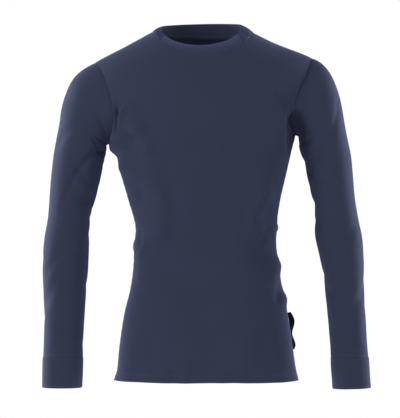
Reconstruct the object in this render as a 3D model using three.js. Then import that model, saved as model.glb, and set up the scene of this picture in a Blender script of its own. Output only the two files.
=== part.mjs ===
// A long-sleeved thermal top with a crew neck, filled out as it is worn, with no wearer.
// Millimetres, +Z up, the front faces -Y and the wearer's left is +X.
// The origin is the middle of the neck opening, level with the neck points.
import * as THREE from "three";

// Cloth
const clothWall = 1.5; // knitted panel
const doubledWall = 2.4; // neckband and cuffs, sewn from doubled strips
const labelWall = 1.6; // folded tape
const seamGap = 0.3; // space between two pieces that are sewn together
const bandProud = 0.5; // doubled strips stand this far above the panel beside them

// Torso below the armpits, one row for each level section. left and right are the side
// seams, front and back the depths from the side seams, tilt lifts the +X end.
const torsoSections = [
  { z: -707, left: -175.5, right: 192.5, front: 113, back: 120, tilt: 0 },
  { z: -690, left: -170, right: 188.5, front: 111, back: 118, tilt: 0 },
  { z: -640, left: -165, right: 181, front: 109, back: 116, tilt: 0 },
  { z: -580, left: -156, right: 172, front: 106, back: 109, tilt: 0 },
  { z: -530, left: -144, right: 162, front: 104, back: 101, tilt: 0 },
  { z: -490, left: -138, right: 154.5, front: 103, back: 95, tilt: 0 },
  { z: -440, left: -134.5, right: 148.6, front: 102, back: 93, tilt: 0 },
  { z: -400, left: -133, right: 149, front: 104, back: 96, tilt: 0 },
  { z: -350, left: -146.5, right: 156, front: 107, back: 103, tilt: 0 },
  { z: -300, left: -161, right: 167.3, front: 110, back: 110, tilt: 0 },
  { z: -262, left: -170.5, right: 176, front: 111, back: 112, tilt: 0 },
  { z: -248, left: -183, right: 180, front: 112, back: 113, tilt: 2 },
  { z: -227, left: -186.5, right: 187.5, front: 112, back: 113, tilt: 9 },
];
const sectionSquareness = 2.5; // exponent of a level section, 2 is an ellipse
const hemHeight = 17; // turned hem, in one piece with each panel
const hemProud = 0.5;
const hemLift = { base: 1.9, towardsLeft: -0.4, reach: 120 }; // rise between the seams
const hemStep = 1; // height over which the hem's fold edge steps back
const rowHeight = 18; // spacing of the rows below the armpits

// Puckers along the side seams, one row each: out is the reach, half the half height.
const sidePuckers = [
  { side: -1, z: -284, out: 3, half: 10 },
  { side: -1, z: -440, out: 4.6, half: 17 },
  { side: 1, z: -404, out: 5.4, half: 13 },
  { side: 1, z: -478, out: 6.4, half: 16 },
  { side: 1, z: -544, out: 6, half: 13 },
];
const puckerSpread = 8; // power of the distance from the middle, high keeps it at the seam

// The largest folds of the panels, each a soft trough (or, with a negative depth, a ridge)
// along a straight line in the front view. side is -1 on the front and 1 on the back.
const torsoFolds = [
  { side: -1, fromX: -172, fromZ: -196, toX: -96, toZ: -168, width: 15, depth: 3.2 },
  { side: -1, fromX: 176, fromZ: -190, toX: 104, toZ: -160, width: 15, depth: 3.2 },
  { side: -1, fromX: -160, fromZ: -262, toX: -92, toZ: -296, width: 17, depth: 2.6 },
  { side: -1, fromX: -132, fromZ: -398, toX: -66, toZ: -470, width: 19, depth: 3.4 },
  { side: -1, fromX: 142, fromZ: -424, toX: 84, toZ: -492, width: 18, depth: 3 },
  { side: -1, fromX: 152, fromZ: -520, toX: 92, toZ: -560, width: 17, depth: 2.4 },
  { side: 1, fromX: -164, fromZ: -150, toX: -70, toZ: -250, width: 20, depth: 3.4 },
  { side: 1, fromX: 166, fromZ: -142, toX: 72, toZ: -246, width: 20, depth: 3.4 },
  { side: 1, fromX: -126, fromZ: -386, toX: 40, toZ: -424, width: 20, depth: 3.6 },
  { side: 1, fromX: 132, fromZ: -424, toX: -34, toZ: -462, width: 19, depth: 3.2 },
  { side: 1, fromX: -118, fromZ: -470, toX: 10, toZ: -500, width: 18, depth: 2.4 },
];
const foldEndPower = 4; // how squarely a fold runs out at its ends
const foldSeamFade = 10; // folds fade before the side seams and armholes

// Shoulder ridge seen from the front. Between the neck points it only shapes the panels.
const shoulderRidge = [
  { x: -225, z: -80.5 },
  { x: -204, z: -68.4 },
  { x: -159, z: -44.7 },
  { x: -137, z: -32.7 },
  { x: -101, z: -13.2 },
  { x: -50, z: 12 },
  { x: 0, z: 23 },
  { x: 50, z: 12.5 },
  { x: 101, z: -12.8 },
  { x: 141, z: -33 },
  { x: 170, z: -44.8 },
  { x: 204, z: -57.8 },
  { x: 229, z: -69.6 },
];
const ridgeMiddle = 2;
const ridgeHalf = 225;
const ridgeSquareness = { front: 1.9, back: 2.5, tip: 2.8 }; // side view of the shoulders
const evenWidening = { from: 0.45, to: 0.85 }; // shares where the sides start to widen evenly

// Armholes, one row for each panel row: rise runs from the armpit to the shoulder tip. The
// seam lies at a share of the half width, at the front for each arm, and at the back.
const armhole = [
  { rise: 0, right: 1, left: 1, back: 1 },
  { rise: 0.03, right: 0.982, left: 0.991, back: 0.992 },
  { rise: 0.08, right: 0.948, left: 0.968, back: 0.972 },
  { rise: 0.15, right: 0.905, left: 0.93, back: 0.95 },
  { rise: 0.24, right: 0.877, left: 0.898, back: 0.935 },
  { rise: 0.35, right: 0.881, left: 0.913, back: 0.933 },
  { rise: 0.47, right: 0.897, left: 0.945, back: 0.94 },
  { rise: 0.59, right: 0.917, left: 0.958, back: 0.948 },
  { rise: 0.71, right: 0.937, left: 0.962, back: 0.953 },
  { rise: 0.82, right: 0.95, left: 0.961, back: 0.956 },
  { rise: 0.92, right: 0.955, left: 0.958, back: 0.957 },
  { rise: 1, right: 0.957, left: 0.957, back: 0.957 },
];

// Neckline on the panels, and the free top edge of the neckband
const neckShare = 0.449; // neck points, as a share of the ridge's half width
const neckDrop = { front: 48, back: 2.5 };
const neckEdge = {
  middle: -1.5,
  half: 80.2,
  front: 62,
  back: 64,
  frontDrop: 43.5,
  backRise: 9.5,
  tilt: 1.8, // the +X neck point stands this far above the middle
};
const neckBend = { highest: 2, share: 0.8 }; // how high up the columns turn to the neckline
const neckSteps = 12; // round half the neckline
const neckPointStep = 0.5; // part of a step between a neck point and the column beside it
const neckSpread = 0.2; // how much wider the neck's columns stand at the armpits
const shoulderColumns = 5;
const bandRows = 4;
const bandBulge = 1.6;

// Sleeves, one row for each ring from the cap to the cuff seam. outer and inner are the
// ring's ends in the front view, depth its half depth, forward its shift to the front.
const rightSleeveRings = [
  { outerX: -229, outerZ: -82, innerX: -190, innerZ: -238, depth: 60, forward: 0 },
  { outerX: -243, outerZ: -91.5, innerX: -190.4, innerZ: -240.5, depth: 60, forward: 0 },
  { outerX: -255, outerZ: -103, innerX: -190.7, innerZ: -243.5, depth: 60, forward: 0 },
  { outerX: -263.5, outerZ: -116, innerX: -190.6, innerZ: -247, depth: 60, forward: 0 },
  { outerX: -270.5, outerZ: -132, innerX: -191.2, innerZ: -251, depth: 59, forward: 0 },
  { outerX: -277, outerZ: -150, innerX: -192.2, innerZ: -256, depth: 58, forward: 0 },
  { outerX: -282, outerZ: -171, innerX: -193.6, innerZ: -262, depth: 57, forward: 0 },
  { outerX: -285.5, outerZ: -197, innerX: -195.8, innerZ: -271, depth: 56, forward: 0 },
  { outerX: -291.5, outerZ: -228, innerX: -198.6, innerZ: -284, depth: 54, forward: 0 },
  { outerX: -297.5, outerZ: -262, innerX: -202.5, innerZ: -303, depth: 52, forward: 0 },
  { outerX: -301.4, outerZ: -300, innerX: -207.9, innerZ: -328, depth: 50, forward: 1 },
  { outerX: -304.3, outerZ: -342, innerX: -215.9, innerZ: -357, depth: 48, forward: 2 },
  { outerX: -307.7, outerZ: -385, innerX: -221.4, innerZ: -388, depth: 46, forward: 4 },
  { outerX: -314.5, outerZ: -424, innerX: -224, innerZ: -424, depth: 45, forward: 7 },
  { outerX: -317.4, outerZ: -460, innerX: -225.9, innerZ: -460, depth: 44, forward: 10 },
  { outerX: -317.2, outerZ: -500, innerX: -227.7, innerZ: -500, depth: 42, forward: 13 },
  { outerX: -315, outerZ: -545, innerX: -231.5, innerZ: -545, depth: 40, forward: 16 },
  { outerX: -314.2, outerZ: -590, innerX: -234.5, innerZ: -590, depth: 37, forward: 19 },
  { outerX: -314.6, outerZ: -632, innerX: -236.7, innerZ: -632, depth: 34, forward: 22 },
  { outerX: -315.8, outerZ: -660.7, innerX: -236.6, innerZ: -660.7, depth: 32, forward: 24 },
];
const leftSleeveRings = [
  { outerX: 231, outerZ: -69.5, innerX: 191.8, innerZ: -220.6, depth: 60, forward: 0 },
  { outerX: 242, outerZ: -77.5, innerX: 192.6, innerZ: -224, depth: 60, forward: 0 },
  { outerX: 252, outerZ: -89, innerX: 193.2, innerZ: -227.5, depth: 60, forward: 0 },
  { outerX: 260.5, outerZ: -103, innerX: 193.5, innerZ: -232, depth: 60, forward: 0 },
  { outerX: 267.5, outerZ: -119, innerX: 193.8, innerZ: -237, depth: 59, forward: 0 },
  { outerX: 274, outerZ: -138, innerX: 194.2, innerZ: -243, depth: 58, forward: 0 },
  { outerX: 279.5, outerZ: -161, innerX: 195.8, innerZ: -250, depth: 57, forward: 0 },
  { outerX: 284.5, outerZ: -191, innerX: 199.5, innerZ: -260, depth: 56, forward: 0 },
  { outerX: 290.5, outerZ: -224, innerX: 205.5, innerZ: -273, depth: 54, forward: 0 },
  { outerX: 297.5, outerZ: -259, innerX: 208.6, innerZ: -292, depth: 52, forward: 0 },
  { outerX: 301.2, outerZ: -297, innerX: 213.1, innerZ: -316, depth: 50, forward: 1 },
  { outerX: 305.3, outerZ: -341, innerX: 220.7, innerZ: -351, depth: 48, forward: 2 },
  { outerX: 311.7, outerZ: -383, innerX: 223.4, innerZ: -386, depth: 46, forward: 4 },
  { outerX: 319.6, outerZ: -422, innerX: 226.1, innerZ: -422, depth: 45, forward: 7 },
  { outerX: 322.4, outerZ: -460, innerX: 234.2, innerZ: -460, depth: 44, forward: 10 },
  { outerX: 323.3, outerZ: -500, innerX: 242.2, innerZ: -500, depth: 42, forward: 13 },
  { outerX: 324, outerZ: -545, innerX: 246.8, innerZ: -545, depth: 40, forward: 16 },
  { outerX: 326, outerZ: -590, innerX: 251, innerZ: -590, depth: 37, forward: 19 },
  { outerX: 328, outerZ: -632, innerX: 254.4, innerZ: -632, depth: 34, forward: 22 },
  { outerX: 330.6, outerZ: -660.7, innerX: 256.1, innerZ: -660.7, depth: 32, forward: 24 },
];
const sleeveSquareness = 2.2;

// The largest folds of the sleeves, each a soft trough across the side named by turn, in
// degrees from the underarm over the front, at share of the way from the cap to the cuff.
const rightSleeveFolds = [
  { turn: 62, share: 0.411, slant: 0.16, spread: 44, width: 0.03, depth: 4 },
  { turn: 24, share: 0.6, slant: -0.05, spread: 62, width: 0.026, depth: 3.2 },
  { turn: -30, share: 0.642, slant: 0.07, spread: 60, width: 0.026, depth: 3 },
  { turn: 150, share: 0.853, slant: 0.06, spread: 50, width: 0.022, depth: 2.2 },
];
const leftSleeveFolds = [
  { turn: 62, share: 0.442, slant: -0.08, spread: 44, width: 0.03, depth: 4.2 },
  { turn: 20, share: 0.621, slant: 0.06, spread: 62, width: 0.028, depth: 3.4 },
  { turn: -34, share: 0.663, slant: -0.06, spread: 60, width: 0.026, depth: 3 },
  { turn: 140, share: 0.832, slant: -0.05, spread: 52, width: 0.022, depth: 2.2 },
];
const sleeveFoldPower = 4; // how squarely a fold runs out round the sleeve
const capRings = 6; // rings over which the armhole's own shape fades out
const capFadePower = 1.5;

// Cuffs, one row for each ring
const rightCuffRings = [
  { outerX: -316.4, outerZ: -661, innerX: -236.4, innerZ: -661, depth: 32, forward: 24 },
  { outerX: -316.8, outerZ: -681, innerX: -236.7, innerZ: -681, depth: 31.5, forward: 25 },
  { outerX: -317, outerZ: -701, innerX: -237.4, innerZ: -701, depth: 31, forward: 26 },
  { outerX: -317.2, outerZ: -720, innerX: -238.4, innerZ: -720, depth: 31, forward: 27 },
];
const leftCuffRings = [
  { outerX: 331.4, outerZ: -661, innerX: 255.9, innerZ: -661, depth: 32, forward: 24 },
  { outerX: 332.6, outerZ: -682, innerX: 256.6, innerZ: -682, depth: 31.5, forward: 25 },
  { outerX: 333.7, outerZ: -702, innerX: 258.3, innerZ: -703, depth: 31, forward: 26 },
  { outerX: 335.2, outerZ: -720.5, innerX: 259.4, innerZ: -722.5, depth: 31, forward: 27 },
];

// Side label, a folded tape in the wearer's left side seam. root is how far its middle starts
// from the seam, and swing turns it to the back.
const label = { top: -573, bottom: -647, width: 13, root: 1.5, rows: 12, columns: 3 };
const labelSwings = [
  { z: -647, swing: 82 },
  { z: -638, swing: 66 },
  { z: -616, swing: 80 },
  { z: -590, swing: 34 },
  { z: -573, swing: 62 },
];

// Colours and finish
const bodyCloth = { color: 0x323849, roughness: 0.9, metalness: 0 };
const bandCloth = { color: 0x373b4b, roughness: 0.9, metalness: 0 };
const labelCloth = { color: 0x0d0d10, roughness: 0.7, metalness: 0 };

const quarterTurn = Math.PI / 2;
const small = 1e-4;
const turnStep = 0.002; // half step of the slopes that give a panel's normals
const riseStep = 0.002;
const heightStep = 0.5;

// A smooth line through the rows of a table: column as a function of key.
function lineThrough(rows, key, column) {
  const sorted = [...rows].sort((a, b) => a[key] - b[key]);
  const last = sorted.length - 1;
  const slopeAt = (index) => {
    const before = sorted[Math.max(index - 1, 0)];
    const after = sorted[Math.min(index + 1, last)];
    return (after[column] - before[column]) / (after[key] - before[key]);
  };
  return (value) => {
    let index = 0;
    while (index < last - 1 && value > sorted[index + 1][key]) index += 1;
    const low = sorted[index];
    const high = sorted[index + 1];
    const span = high[key] - low[key];
    const t = THREE.MathUtils.clamp((value - low[key]) / span, 0, 1);
    const rest = 1 - t;
    return (
      low[column] * (1 + 2 * t) * rest * rest +
      high[column] * (3 - 2 * t) * t * t +
      slopeAt(index) * span * t * rest * rest -
      slopeAt(index + 1) * span * t * t * rest
    );
  };
}

// A point of a rounded square of half size 1, at an angle from its first axis.
function roundedSquare(angle, squareness) {
  const along = Math.cos(angle);
  const across = Math.sin(angle);
  const size = (Math.abs(along) ** squareness + Math.abs(across) ** squareness) ** (1 / squareness);
  return { along: along / size, across: across / size };
}

// The angle at which the rounded square reaches a share of its second axis.
function angleOfShare(share, squareness) {
  const rest = Math.max(1 - Math.abs(share) ** squareness, 0) ** (1 / squareness);
  return Math.atan2(share, rest);
}

// How deep a straight fold is at a point of the front view.
function foldDepth(fold, x, z) {
  const [runX, runZ] = [fold.toX - fold.fromX, fold.toZ - fold.fromZ];
  const length = Math.hypot(runX, runZ);
  const along = ((x - fold.fromX) * runX + (z - fold.fromZ) * runZ) / length;
  const across = ((x - fold.fromX) * runZ - (z - fold.fromZ) * runX) / length;
  const fromMiddle = Math.min(Math.abs(along / length - 0.5) * 2, 1);
  return fold.depth * (1 - fromMiddle ** foldEndPower) * Math.exp(-((across / fold.width) ** 2));
}

// Torso surface
const hem = torsoSections[0];
const chest = torsoSections[torsoSections.length - 1];
const sectionLine = {
  left: lineThrough(torsoSections, "z", "left"),
  right: lineThrough(torsoSections, "z", "right"),
  front: lineThrough(torsoSections, "z", "front"),
  back: lineThrough(torsoSections, "z", "back"),
  tilt: lineThrough(torsoSections, "z", "tilt"),
};
const ridgeHeight = lineThrough(shoulderRidge, "x", "z");
const tipShare = armhole[armhole.length - 1].back;
const tipTurn = angleOfShare(tipShare, sectionSquareness);
const neckTurn = angleOfShare(neckShare, sectionSquareness);
const neckPlaces = [0, neckPointStep];
for (let step = 1; step < neckSteps; step += 1) neckPlaces.push(step);
neckPlaces.push(neckSteps - neckPointStep, neckSteps);
const neckAngles = neckPlaces.map((step) => Math.PI * (step / neckSteps));

function ridgeSquarenessAt(side, share) {
  const middle = side < 0 ? ridgeSquareness.front : ridgeSquareness.back;
  return middle + (ridgeSquareness.tip - middle) * share * share;
}

// Presses the folds of one side into a point, level and towards the middle of the torso.
function pressFolds(point, side, across) {
  const inward = new THREE.Vector3(-point.x, -point.y, 0).normalize();
  const fade = 1 - Math.abs(across) ** foldSeamFade;
  let depth = 0;
  for (const fold of torsoFolds) {
    if (fold.side === side) depth += foldDepth(fold, point.x, point.z);
  }
  return point.addScaledVector(inward, depth * fade);
}

function lowerTorsoPoint(side, turn, z) {
  const { along, across } = roundedSquare(turn, sectionSquareness);
  const left = sectionLine.left(z);
  const right = sectionLine.right(z);
  const depth = side < 0 ? sectionLine.front(z) : sectionLine.back(z);
  const point = new THREE.Vector3(
    (left + right) / 2 + ((right - left) / 2) * across,
    side * depth * along,
    z + sectionLine.tilt(z) * across,
  );
  for (const pucker of sidePuckers) {
    const nearSeam = Math.max(across * pucker.side, 0) ** puckerSpread;
    const drop = (z - pucker.z) / pucker.half;
    point.x += pucker.side * pucker.out * nearSeam * Math.exp(-drop * drop);
  }
  const toHem = Math.max(1 - (z - hem.z) / hemLift.reach, 0);
  point.z += toHem * toHem * Math.abs(along) * (hemLift.base + hemLift.towardsLeft * across);
  return pressFolds(point, side, across);
}

function upperTorsoPoint(side, turn, rise) {
  const { along, across } = roundedSquare(turn, sectionSquareness);
  const arch = roundedSquare(rise * quarterTurn, ridgeSquarenessAt(side, across));
  const ridgeX = ridgeMiddle + ridgeHalf * across;
  const chestX = (chest.left + chest.right) / 2 + ((chest.right - chest.left) / 2) * across;
  const chestZ = chest.z + chest.tilt * across;
  const depth = side < 0 ? chest.front : chest.back;
  const even = THREE.MathUtils.smoothstep(Math.abs(across), evenWidening.from, evenWidening.to);
  const widening = THREE.MathUtils.lerp(1 - Math.abs(arch.along), arch.across, even);
  const point = new THREE.Vector3(
    chestX + (ridgeX - chestX) * widening,
    side * depth * along * arch.along,
    chestZ + (ridgeHeight(ridgeX) - chestZ) * arch.across,
  );
  return pressFolds(point, side, across);
}

// level is a height in millimetres below the armpits and a rise from 0 to 1 above them.
function torsoPoint(side, turn, level) {
  if (level >= 0) return upperTorsoPoint(side, turn, level);
  return lowerTorsoPoint(side, turn, chest.z + level);
}

function torsoNormal(side, turn, level) {
  const below = level < 0 ? level - heightStep : Math.max(level - riseStep, 0);
  const above = level < 0 ? Math.min(level + heightStep, -small) : level + riseStep;
  const before = torsoPoint(side, turn - turnStep, level);
  const across = torsoPoint(side, turn + turnStep, level).sub(before);
  const up = torsoPoint(side, turn, above).sub(torsoPoint(side, turn, below));
  return across.cross(up).multiplyScalar(-side).normalize();
}

// Panel columns: place runs from 0 in the middle over 1 at the neck points to 2 at the
// edges, top is the rise of the upper edge.
function panelColumns(side) {
  const drop = side < 0 ? neckDrop.front : neckDrop.back;
  const columns = [];
  for (const end of [-1, 1]) {
    for (let step = 0; step < shoulderColumns; step += 1) {
      const share = end * (tipShare + (neckShare - tipShare) * (step / shoulderColumns));
      columns.push({ share, top: 1 });
    }
  }
  const neckHeight = (end) => ridgeHeight(ridgeMiddle + end * ridgeHalf * neckShare);
  for (const angle of neckAngles) {
    const share = neckShare * Math.cos(angle);
    const blend = (1 + Math.cos(angle)) / 2;
    const z = neckHeight(-1) + (neckHeight(1) - neckHeight(-1)) * blend - drop * Math.sin(angle);
    const chestZ = chest.z + chest.tilt * share;
    const height = (z - chestZ) / (ridgeHeight(ridgeMiddle + ridgeHalf * share) - chestZ);
    const squareness = ridgeSquarenessAt(side, share);
    const isNeckPoint = angle === 0 || angle === Math.PI;
    const top = isNeckPoint ? 1 : angleOfShare(Math.min(height, 1), squareness) / quarterTurn;
    columns.push({ share, top, angle });
  }
  columns.sort((a, b) => a.share - b.share);
  return columns.map(({ share, top, angle }) => {
    const turn = Math.abs(angleOfShare(share, sectionSquareness));
    const beyond = Math.max((turn - neckTurn) / (tipTurn - neckTurn), 0);
    const place = Math.sign(share) * (Math.min(turn / neckTurn, 1) + beyond);
    return { place, top, angle, isNeck: Math.abs(share) <= neckShare + small };
  });
}

function turnAt(place, level, edgeTurns) {
  const edgeTurn = edgeTurns[place < 0 ? 0 : 1];
  const neckAt = neckTurn * (1 + neckSpread * (1 - Math.max(level, 0)));
  const beyond = Math.max(Math.abs(place) - 1, 0);
  return Math.sign(place) * (Math.min(Math.abs(place), 1) * neckAt + beyond * (edgeTurn - neckAt));
}

// The level of a column at an armhole row: the step down to the neckline starts high up.
function columnLevel(rise, top) {
  if (top === 1) return rise;
  const bend = Math.min(neckBend.highest, neckBend.share / (1 - top) - 1);
  return rise * (1 - (1 - top) * rise ** bend);
}

// Panel rows, from the hem up: level as in torsoPoint, proud is the hem's extra thickness,
// and edgeTurns are the angles of the right and the left edge.
function panelRows(side) {
  const rows = [];
  const hemTop = hem.z + hemHeight;
  rows.push({ level: hem.z - chest.z, proud: hemProud });
  rows.push({ level: hem.z + hemHeight / 2 - chest.z, proud: hemProud });
  rows.push({ level: hemTop - chest.z, proud: hemProud });
  rows.push({ level: hemTop + hemStep - chest.z, proud: 0 });
  const plainHeight = chest.z - (hemTop + hemStep);
  const count = Math.round(plainHeight / rowHeight);
  for (let step = 1; step < count; step += 1) {
    rows.push({ level: -plainHeight * (1 - step / count), proud: 0 });
  }
  const lower = rows.map((row) => ({ ...row, edgeTurns: [quarterTurn, quarterTurn] }));
  const upper = armhole.map((row) => ({
    level: row.rise,
    proud: 0,
    edgeTurns: (side < 0 ? [row.right, row.left] : [row.back, row.back]).map((share) =>
      angleOfShare(share, sectionSquareness),
    ),
  }));
  return [...lower, ...upper];
}

// A panel: a grid of outer points with their normals, and the matching inner points.
function panelGrid(side) {
  const columns = panelColumns(side);
  const outer = [];
  const inner = [];
  const normals = [];
  for (const row of panelRows(side)) {
    const outerRow = [];
    const innerRow = [];
    const normalRow = [];
    for (const column of columns) {
      const turn = turnAt(column.place, row.level, row.edgeTurns);
      const level = row.level > 0 ? columnLevel(row.level, column.top) : row.level;
      const normal = torsoNormal(side, turn, level);
      const point = torsoPoint(side, turn, level);
      const innerPoint = point.clone().addScaledVector(normal, -clothWall);
      point.addScaledVector(normal, row.proud);
      for (const each of [point, innerPoint]) {
        each.y = side * Math.max(side * each.y, 0) + (side * seamGap) / 2;
      }
      outerRow.push(point);
      innerRow.push(innerPoint);
      normalRow.push(normal);
    }
    outer.push(outerRow);
    inner.push(innerRow);
    normals.push(normalRow);
  }
  return { outer, inner, normals, columns };
}

// Walls
// The closed wall between an outer and an inner grid of points, either an open sheet or,
// closed around, a tube. Rows run up the piece, and each row runs across or around it.
function wallGeometry(outer, inner, isTube) {
  const rowCount = outer.length;
  const width = outer[0].length;
  const shift = rowCount * width;
  const points = [...outer.flat(), ...inner.flat()];
  const positions = points.flatMap((point) => point.toArray());
  const indices = [];
  const quad = (a, b, c, d) => {
    const isShort = points[a].distanceTo(points[c]) <= points[b].distanceTo(points[d]);
    if (isShort) indices.push(a, b, c, a, c, d);
    else indices.push(a, b, d, b, c, d);
  };
  const steps = isTube ? width : width - 1;
  const at = (row, column) => row * width + (column % width);
  for (let row = 0; row < rowCount - 1; row += 1) {
    for (let column = 0; column < steps; column += 1) {
      const [a, b] = [at(row, column), at(row, column + 1)];
      const [c, d] = [at(row + 1, column + 1), at(row + 1, column)];
      quad(a, b, c, d);
      quad(a + shift, d + shift, c + shift, b + shift);
    }
  }
  for (let column = 0; column < steps; column += 1) {
    const [low, lowNext] = [at(0, column), at(0, column + 1)];
    const [high, highNext] = [at(rowCount - 1, column), at(rowCount - 1, column + 1)];
    quad(lowNext, low, low + shift, lowNext + shift);
    quad(high, highNext, highNext + shift, high + shift);
  }
  for (let row = 0; row < rowCount - 1 && !isTube; row += 1) {
    const [left, leftNext] = [at(row, 0), at(row + 1, 0)];
    const [right, rightNext] = [at(row, width - 1), at(row + 1, width - 1)];
    quad(left, leftNext, leftNext + shift, left + shift);
    quad(rightNext, right, right + shift, rightNext + shift);
  }
  const geometry = new THREE.BufferGeometry();
  geometry.setAttribute("position", new THREE.Float32BufferAttribute(positions, 3));
  geometry.setIndex(indices);
  return facedOut(geometry);
}

function signedVolume(geometry) {
  const position = geometry.getAttribute("position");
  const index = geometry.getIndex();
  const [a, b, c] = [new THREE.Vector3(), new THREE.Vector3(), new THREE.Vector3()];
  let volume = 0;
  for (let corner = 0; corner < index.count; corner += 3) {
    a.fromBufferAttribute(position, index.getX(corner));
    b.fromBufferAttribute(position, index.getX(corner + 1));
    c.fromBufferAttribute(position, index.getX(corner + 2));
    volume += a.dot(b.cross(c)) / 6;
  }
  return volume;
}

// Turns every triangle round if the closed surface faces in.
function facedOut(geometry) {
  if (signedVolume(geometry) < 0) {
    const index = geometry.getIndex();
    for (let corner = 0; corner < index.count; corner += 3) {
      const second = index.getX(corner + 1);
      index.setX(corner + 1, index.getX(corner + 2));
      index.setX(corner + 2, second);
    }
  }
  geometry.computeVertexNormals();
  return geometry;
}

// Unit normals of a tube's rings, pointing away from each ring's middle.
function ringNormals(rings) {
  return rings.map((ring, row) =>
    ring.map((point, column) => {
      const next = ring[(column + 1) % ring.length];
      const previous = ring[(column + ring.length - 1) % ring.length];
      const above = rings[Math.max(row - 1, 0)][column];
      const below = rings[Math.min(row + 1, rings.length - 1)][column];
      const middle = ring.reduce((sum, each) => sum.add(each), new THREE.Vector3());
      middle.divideScalar(ring.length);
      const normal = next.clone().sub(previous).cross(above.clone().sub(below)).normalize();
      const isOutward = normal.dot(point.clone().sub(middle)) > 0;
      return isOutward ? normal : normal.negate();
    }),
  );
}

function offsetRings(rings, normals, distance) {
  return rings.map((ring, row) =>
    ring.map((point, column) => point.clone().addScaledVector(normals[row][column], distance)),
  );
}

// Sleeves
// The armhole's seam as a ring: armpit, front, shoulder tip, back. Each entry has the point,
// the panels' normal there and the direction away from the panels.
function armholeRing(panels, end) {
  const lowRow = panels.front.outer.length - armhole.length;
  const columnOf = (grid) => (end < 0 ? 0 : grid.columns.length - 1);
  const entry = (grid, row) => ({
    point: grid.outer[lowRow + row][columnOf(grid)].clone(),
    normal: grid.normals[lowRow + row][columnOf(grid)].clone(),
  });
  const last = armhole.length - 1;
  const ring = [];
  for (let row = 0; row <= last; row += 1) ring.push(entry(panels.front, row));
  for (let row = last - 1; row > 0; row -= 1) ring.push(entry(panels.back, row));
  ring[0].point.y = 0;
  ring[last].point.y = 0;
  ring.forEach((each, index) => {
    const next = ring[(index + 1) % ring.length].point;
    const previous = ring[(index + ring.length - 1) % ring.length].point;
    const tangent = next.clone().sub(previous).normalize();
    each.away = tangent.cross(each.normal).multiplyScalar(end).normalize();
  });
  return ring;
}

// Angle of each entry of the armhole's ring, by its share of the length round it.
function ringAngles(ring) {
  const half = ring.length / 2;
  const angles = new Array(ring.length).fill(0);
  for (const direction of [1, -1]) {
    let length = 0;
    const lengths = [0];
    for (let step = 1; step <= half; step += 1) {
      const here = ring[(ring.length + direction * step) % ring.length].point;
      const before = ring[(ring.length + direction * (step - 1)) % ring.length].point;
      length += here.distanceTo(before);
      lengths.push(length);
    }
    for (let step = 0; step <= half; step += 1) {
      const index = (ring.length + direction * step) % ring.length;
      angles[index] = direction * Math.PI * (lengths[step] / length);
    }
  }
  return angles;
}

// Axes of one ring: along runs from its inner to its outer end, through lies across the ring.
function ringAxes(row) {
  const inner = new THREE.Vector3(row.innerX, 0, row.innerZ);
  const outer = new THREE.Vector3(row.outerX, 0, row.outerZ);
  const along = outer.clone().sub(inner);
  const half = along.length() / 2;
  along.normalize();
  const through = new THREE.Vector3(0, 1, 0).cross(along);
  return { middle: inner.add(outer).multiplyScalar(0.5), half, along, through };
}

function ringPoint(row, axes, angle) {
  const { along, across } = roundedSquare(angle, sleeveSquareness);
  const point = axes.middle.clone().addScaledVector(axes.along, -axes.half * along);
  point.y = -row.depth * across - row.forward;
  return point;
}

function ringsOfTable(rows, angles) {
  return rows.map((row) => {
    const axes = ringAxes(row);
    return angles.map((angle) => ringPoint(row, axes, angle));
  });
}

// Presses a sleeve's folds into its rings, towards each ring's middle.
function pressSleeveFolds(rings, angles, folds) {
  rings.forEach((ring, number) => {
    const share = number / (rings.length - 1);
    const middle = ring.reduce((sum, each) => sum.add(each), new THREE.Vector3());
    middle.divideScalar(ring.length);
    ring.forEach((point, index) => {
      const inward = middle.clone().sub(point).normalize();
      for (const fold of folds) {
        const turned = THREE.MathUtils.radToDeg(angles[index]) - fold.turn;
        const away = (THREE.MathUtils.euclideanModulo(turned + 180, 360) - 180) / fold.spread;
        const drop = (share - fold.share - fold.slant * away) / fold.width;
        const depth = fold.depth * Math.exp(-(drop * drop) - away ** sleeveFoldPower);
        point.addScaledVector(inward, depth);
      }
    });
  });
}

function sleeveGeometry(armholeEntries, rows, folds) {
  const angles = ringAngles(armholeEntries);
  const seam = armholeEntries.map((each) =>
    each.point.clone().addScaledVector(each.away, seamGap),
  );
  const tip = seam[seam.length / 2];
  const seamRow = {
    outerX: tip.x,
    outerZ: tip.z,
    innerX: seam[0].x,
    innerZ: seam[0].z,
    depth: rows[0].depth,
    forward: 0,
  };
  const seamAxes = ringAxes(seamRow);
  const residuals = seam.map((point, index) => {
    const rest = point.clone().sub(ringPoint(seamRow, seamAxes, angles[index]));
    return { along: rest.dot(seamAxes.along), y: rest.y, through: rest.dot(seamAxes.through) };
  });
  const rings = rows.map((row, number) => {
    const axes = ringAxes(row);
    const fade = (1 - Math.min((number + 1) / capRings, 1)) ** capFadePower;
    return angles.map((angle, index) => {
      const rest = residuals[index];
      const point = ringPoint(row, axes, angle);
      point.addScaledVector(axes.along, rest.along * fade);
      point.addScaledVector(axes.through, rest.through * fade);
      point.y += rest.y * fade;
      return point;
    });
  });
  pressSleeveFolds(rings, angles, folds);
  const outer = [seam, ...rings];
  const normals = ringNormals(outer);
  normals[0] = armholeEntries.map((each) => each.normal);
  return wallGeometry(outer, offsetRings(outer, normals, -clothWall), true);
}

function cuffGeometry(rows, angles) {
  const rings = ringsOfTable(rows, angles);
  const normals = ringNormals(rings);
  const outer = offsetRings(rings, normals, bandProud);
  const inner = offsetRings(rings, normals, bandProud - doubledWall);
  return wallGeometry(outer, inner, true);
}

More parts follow.
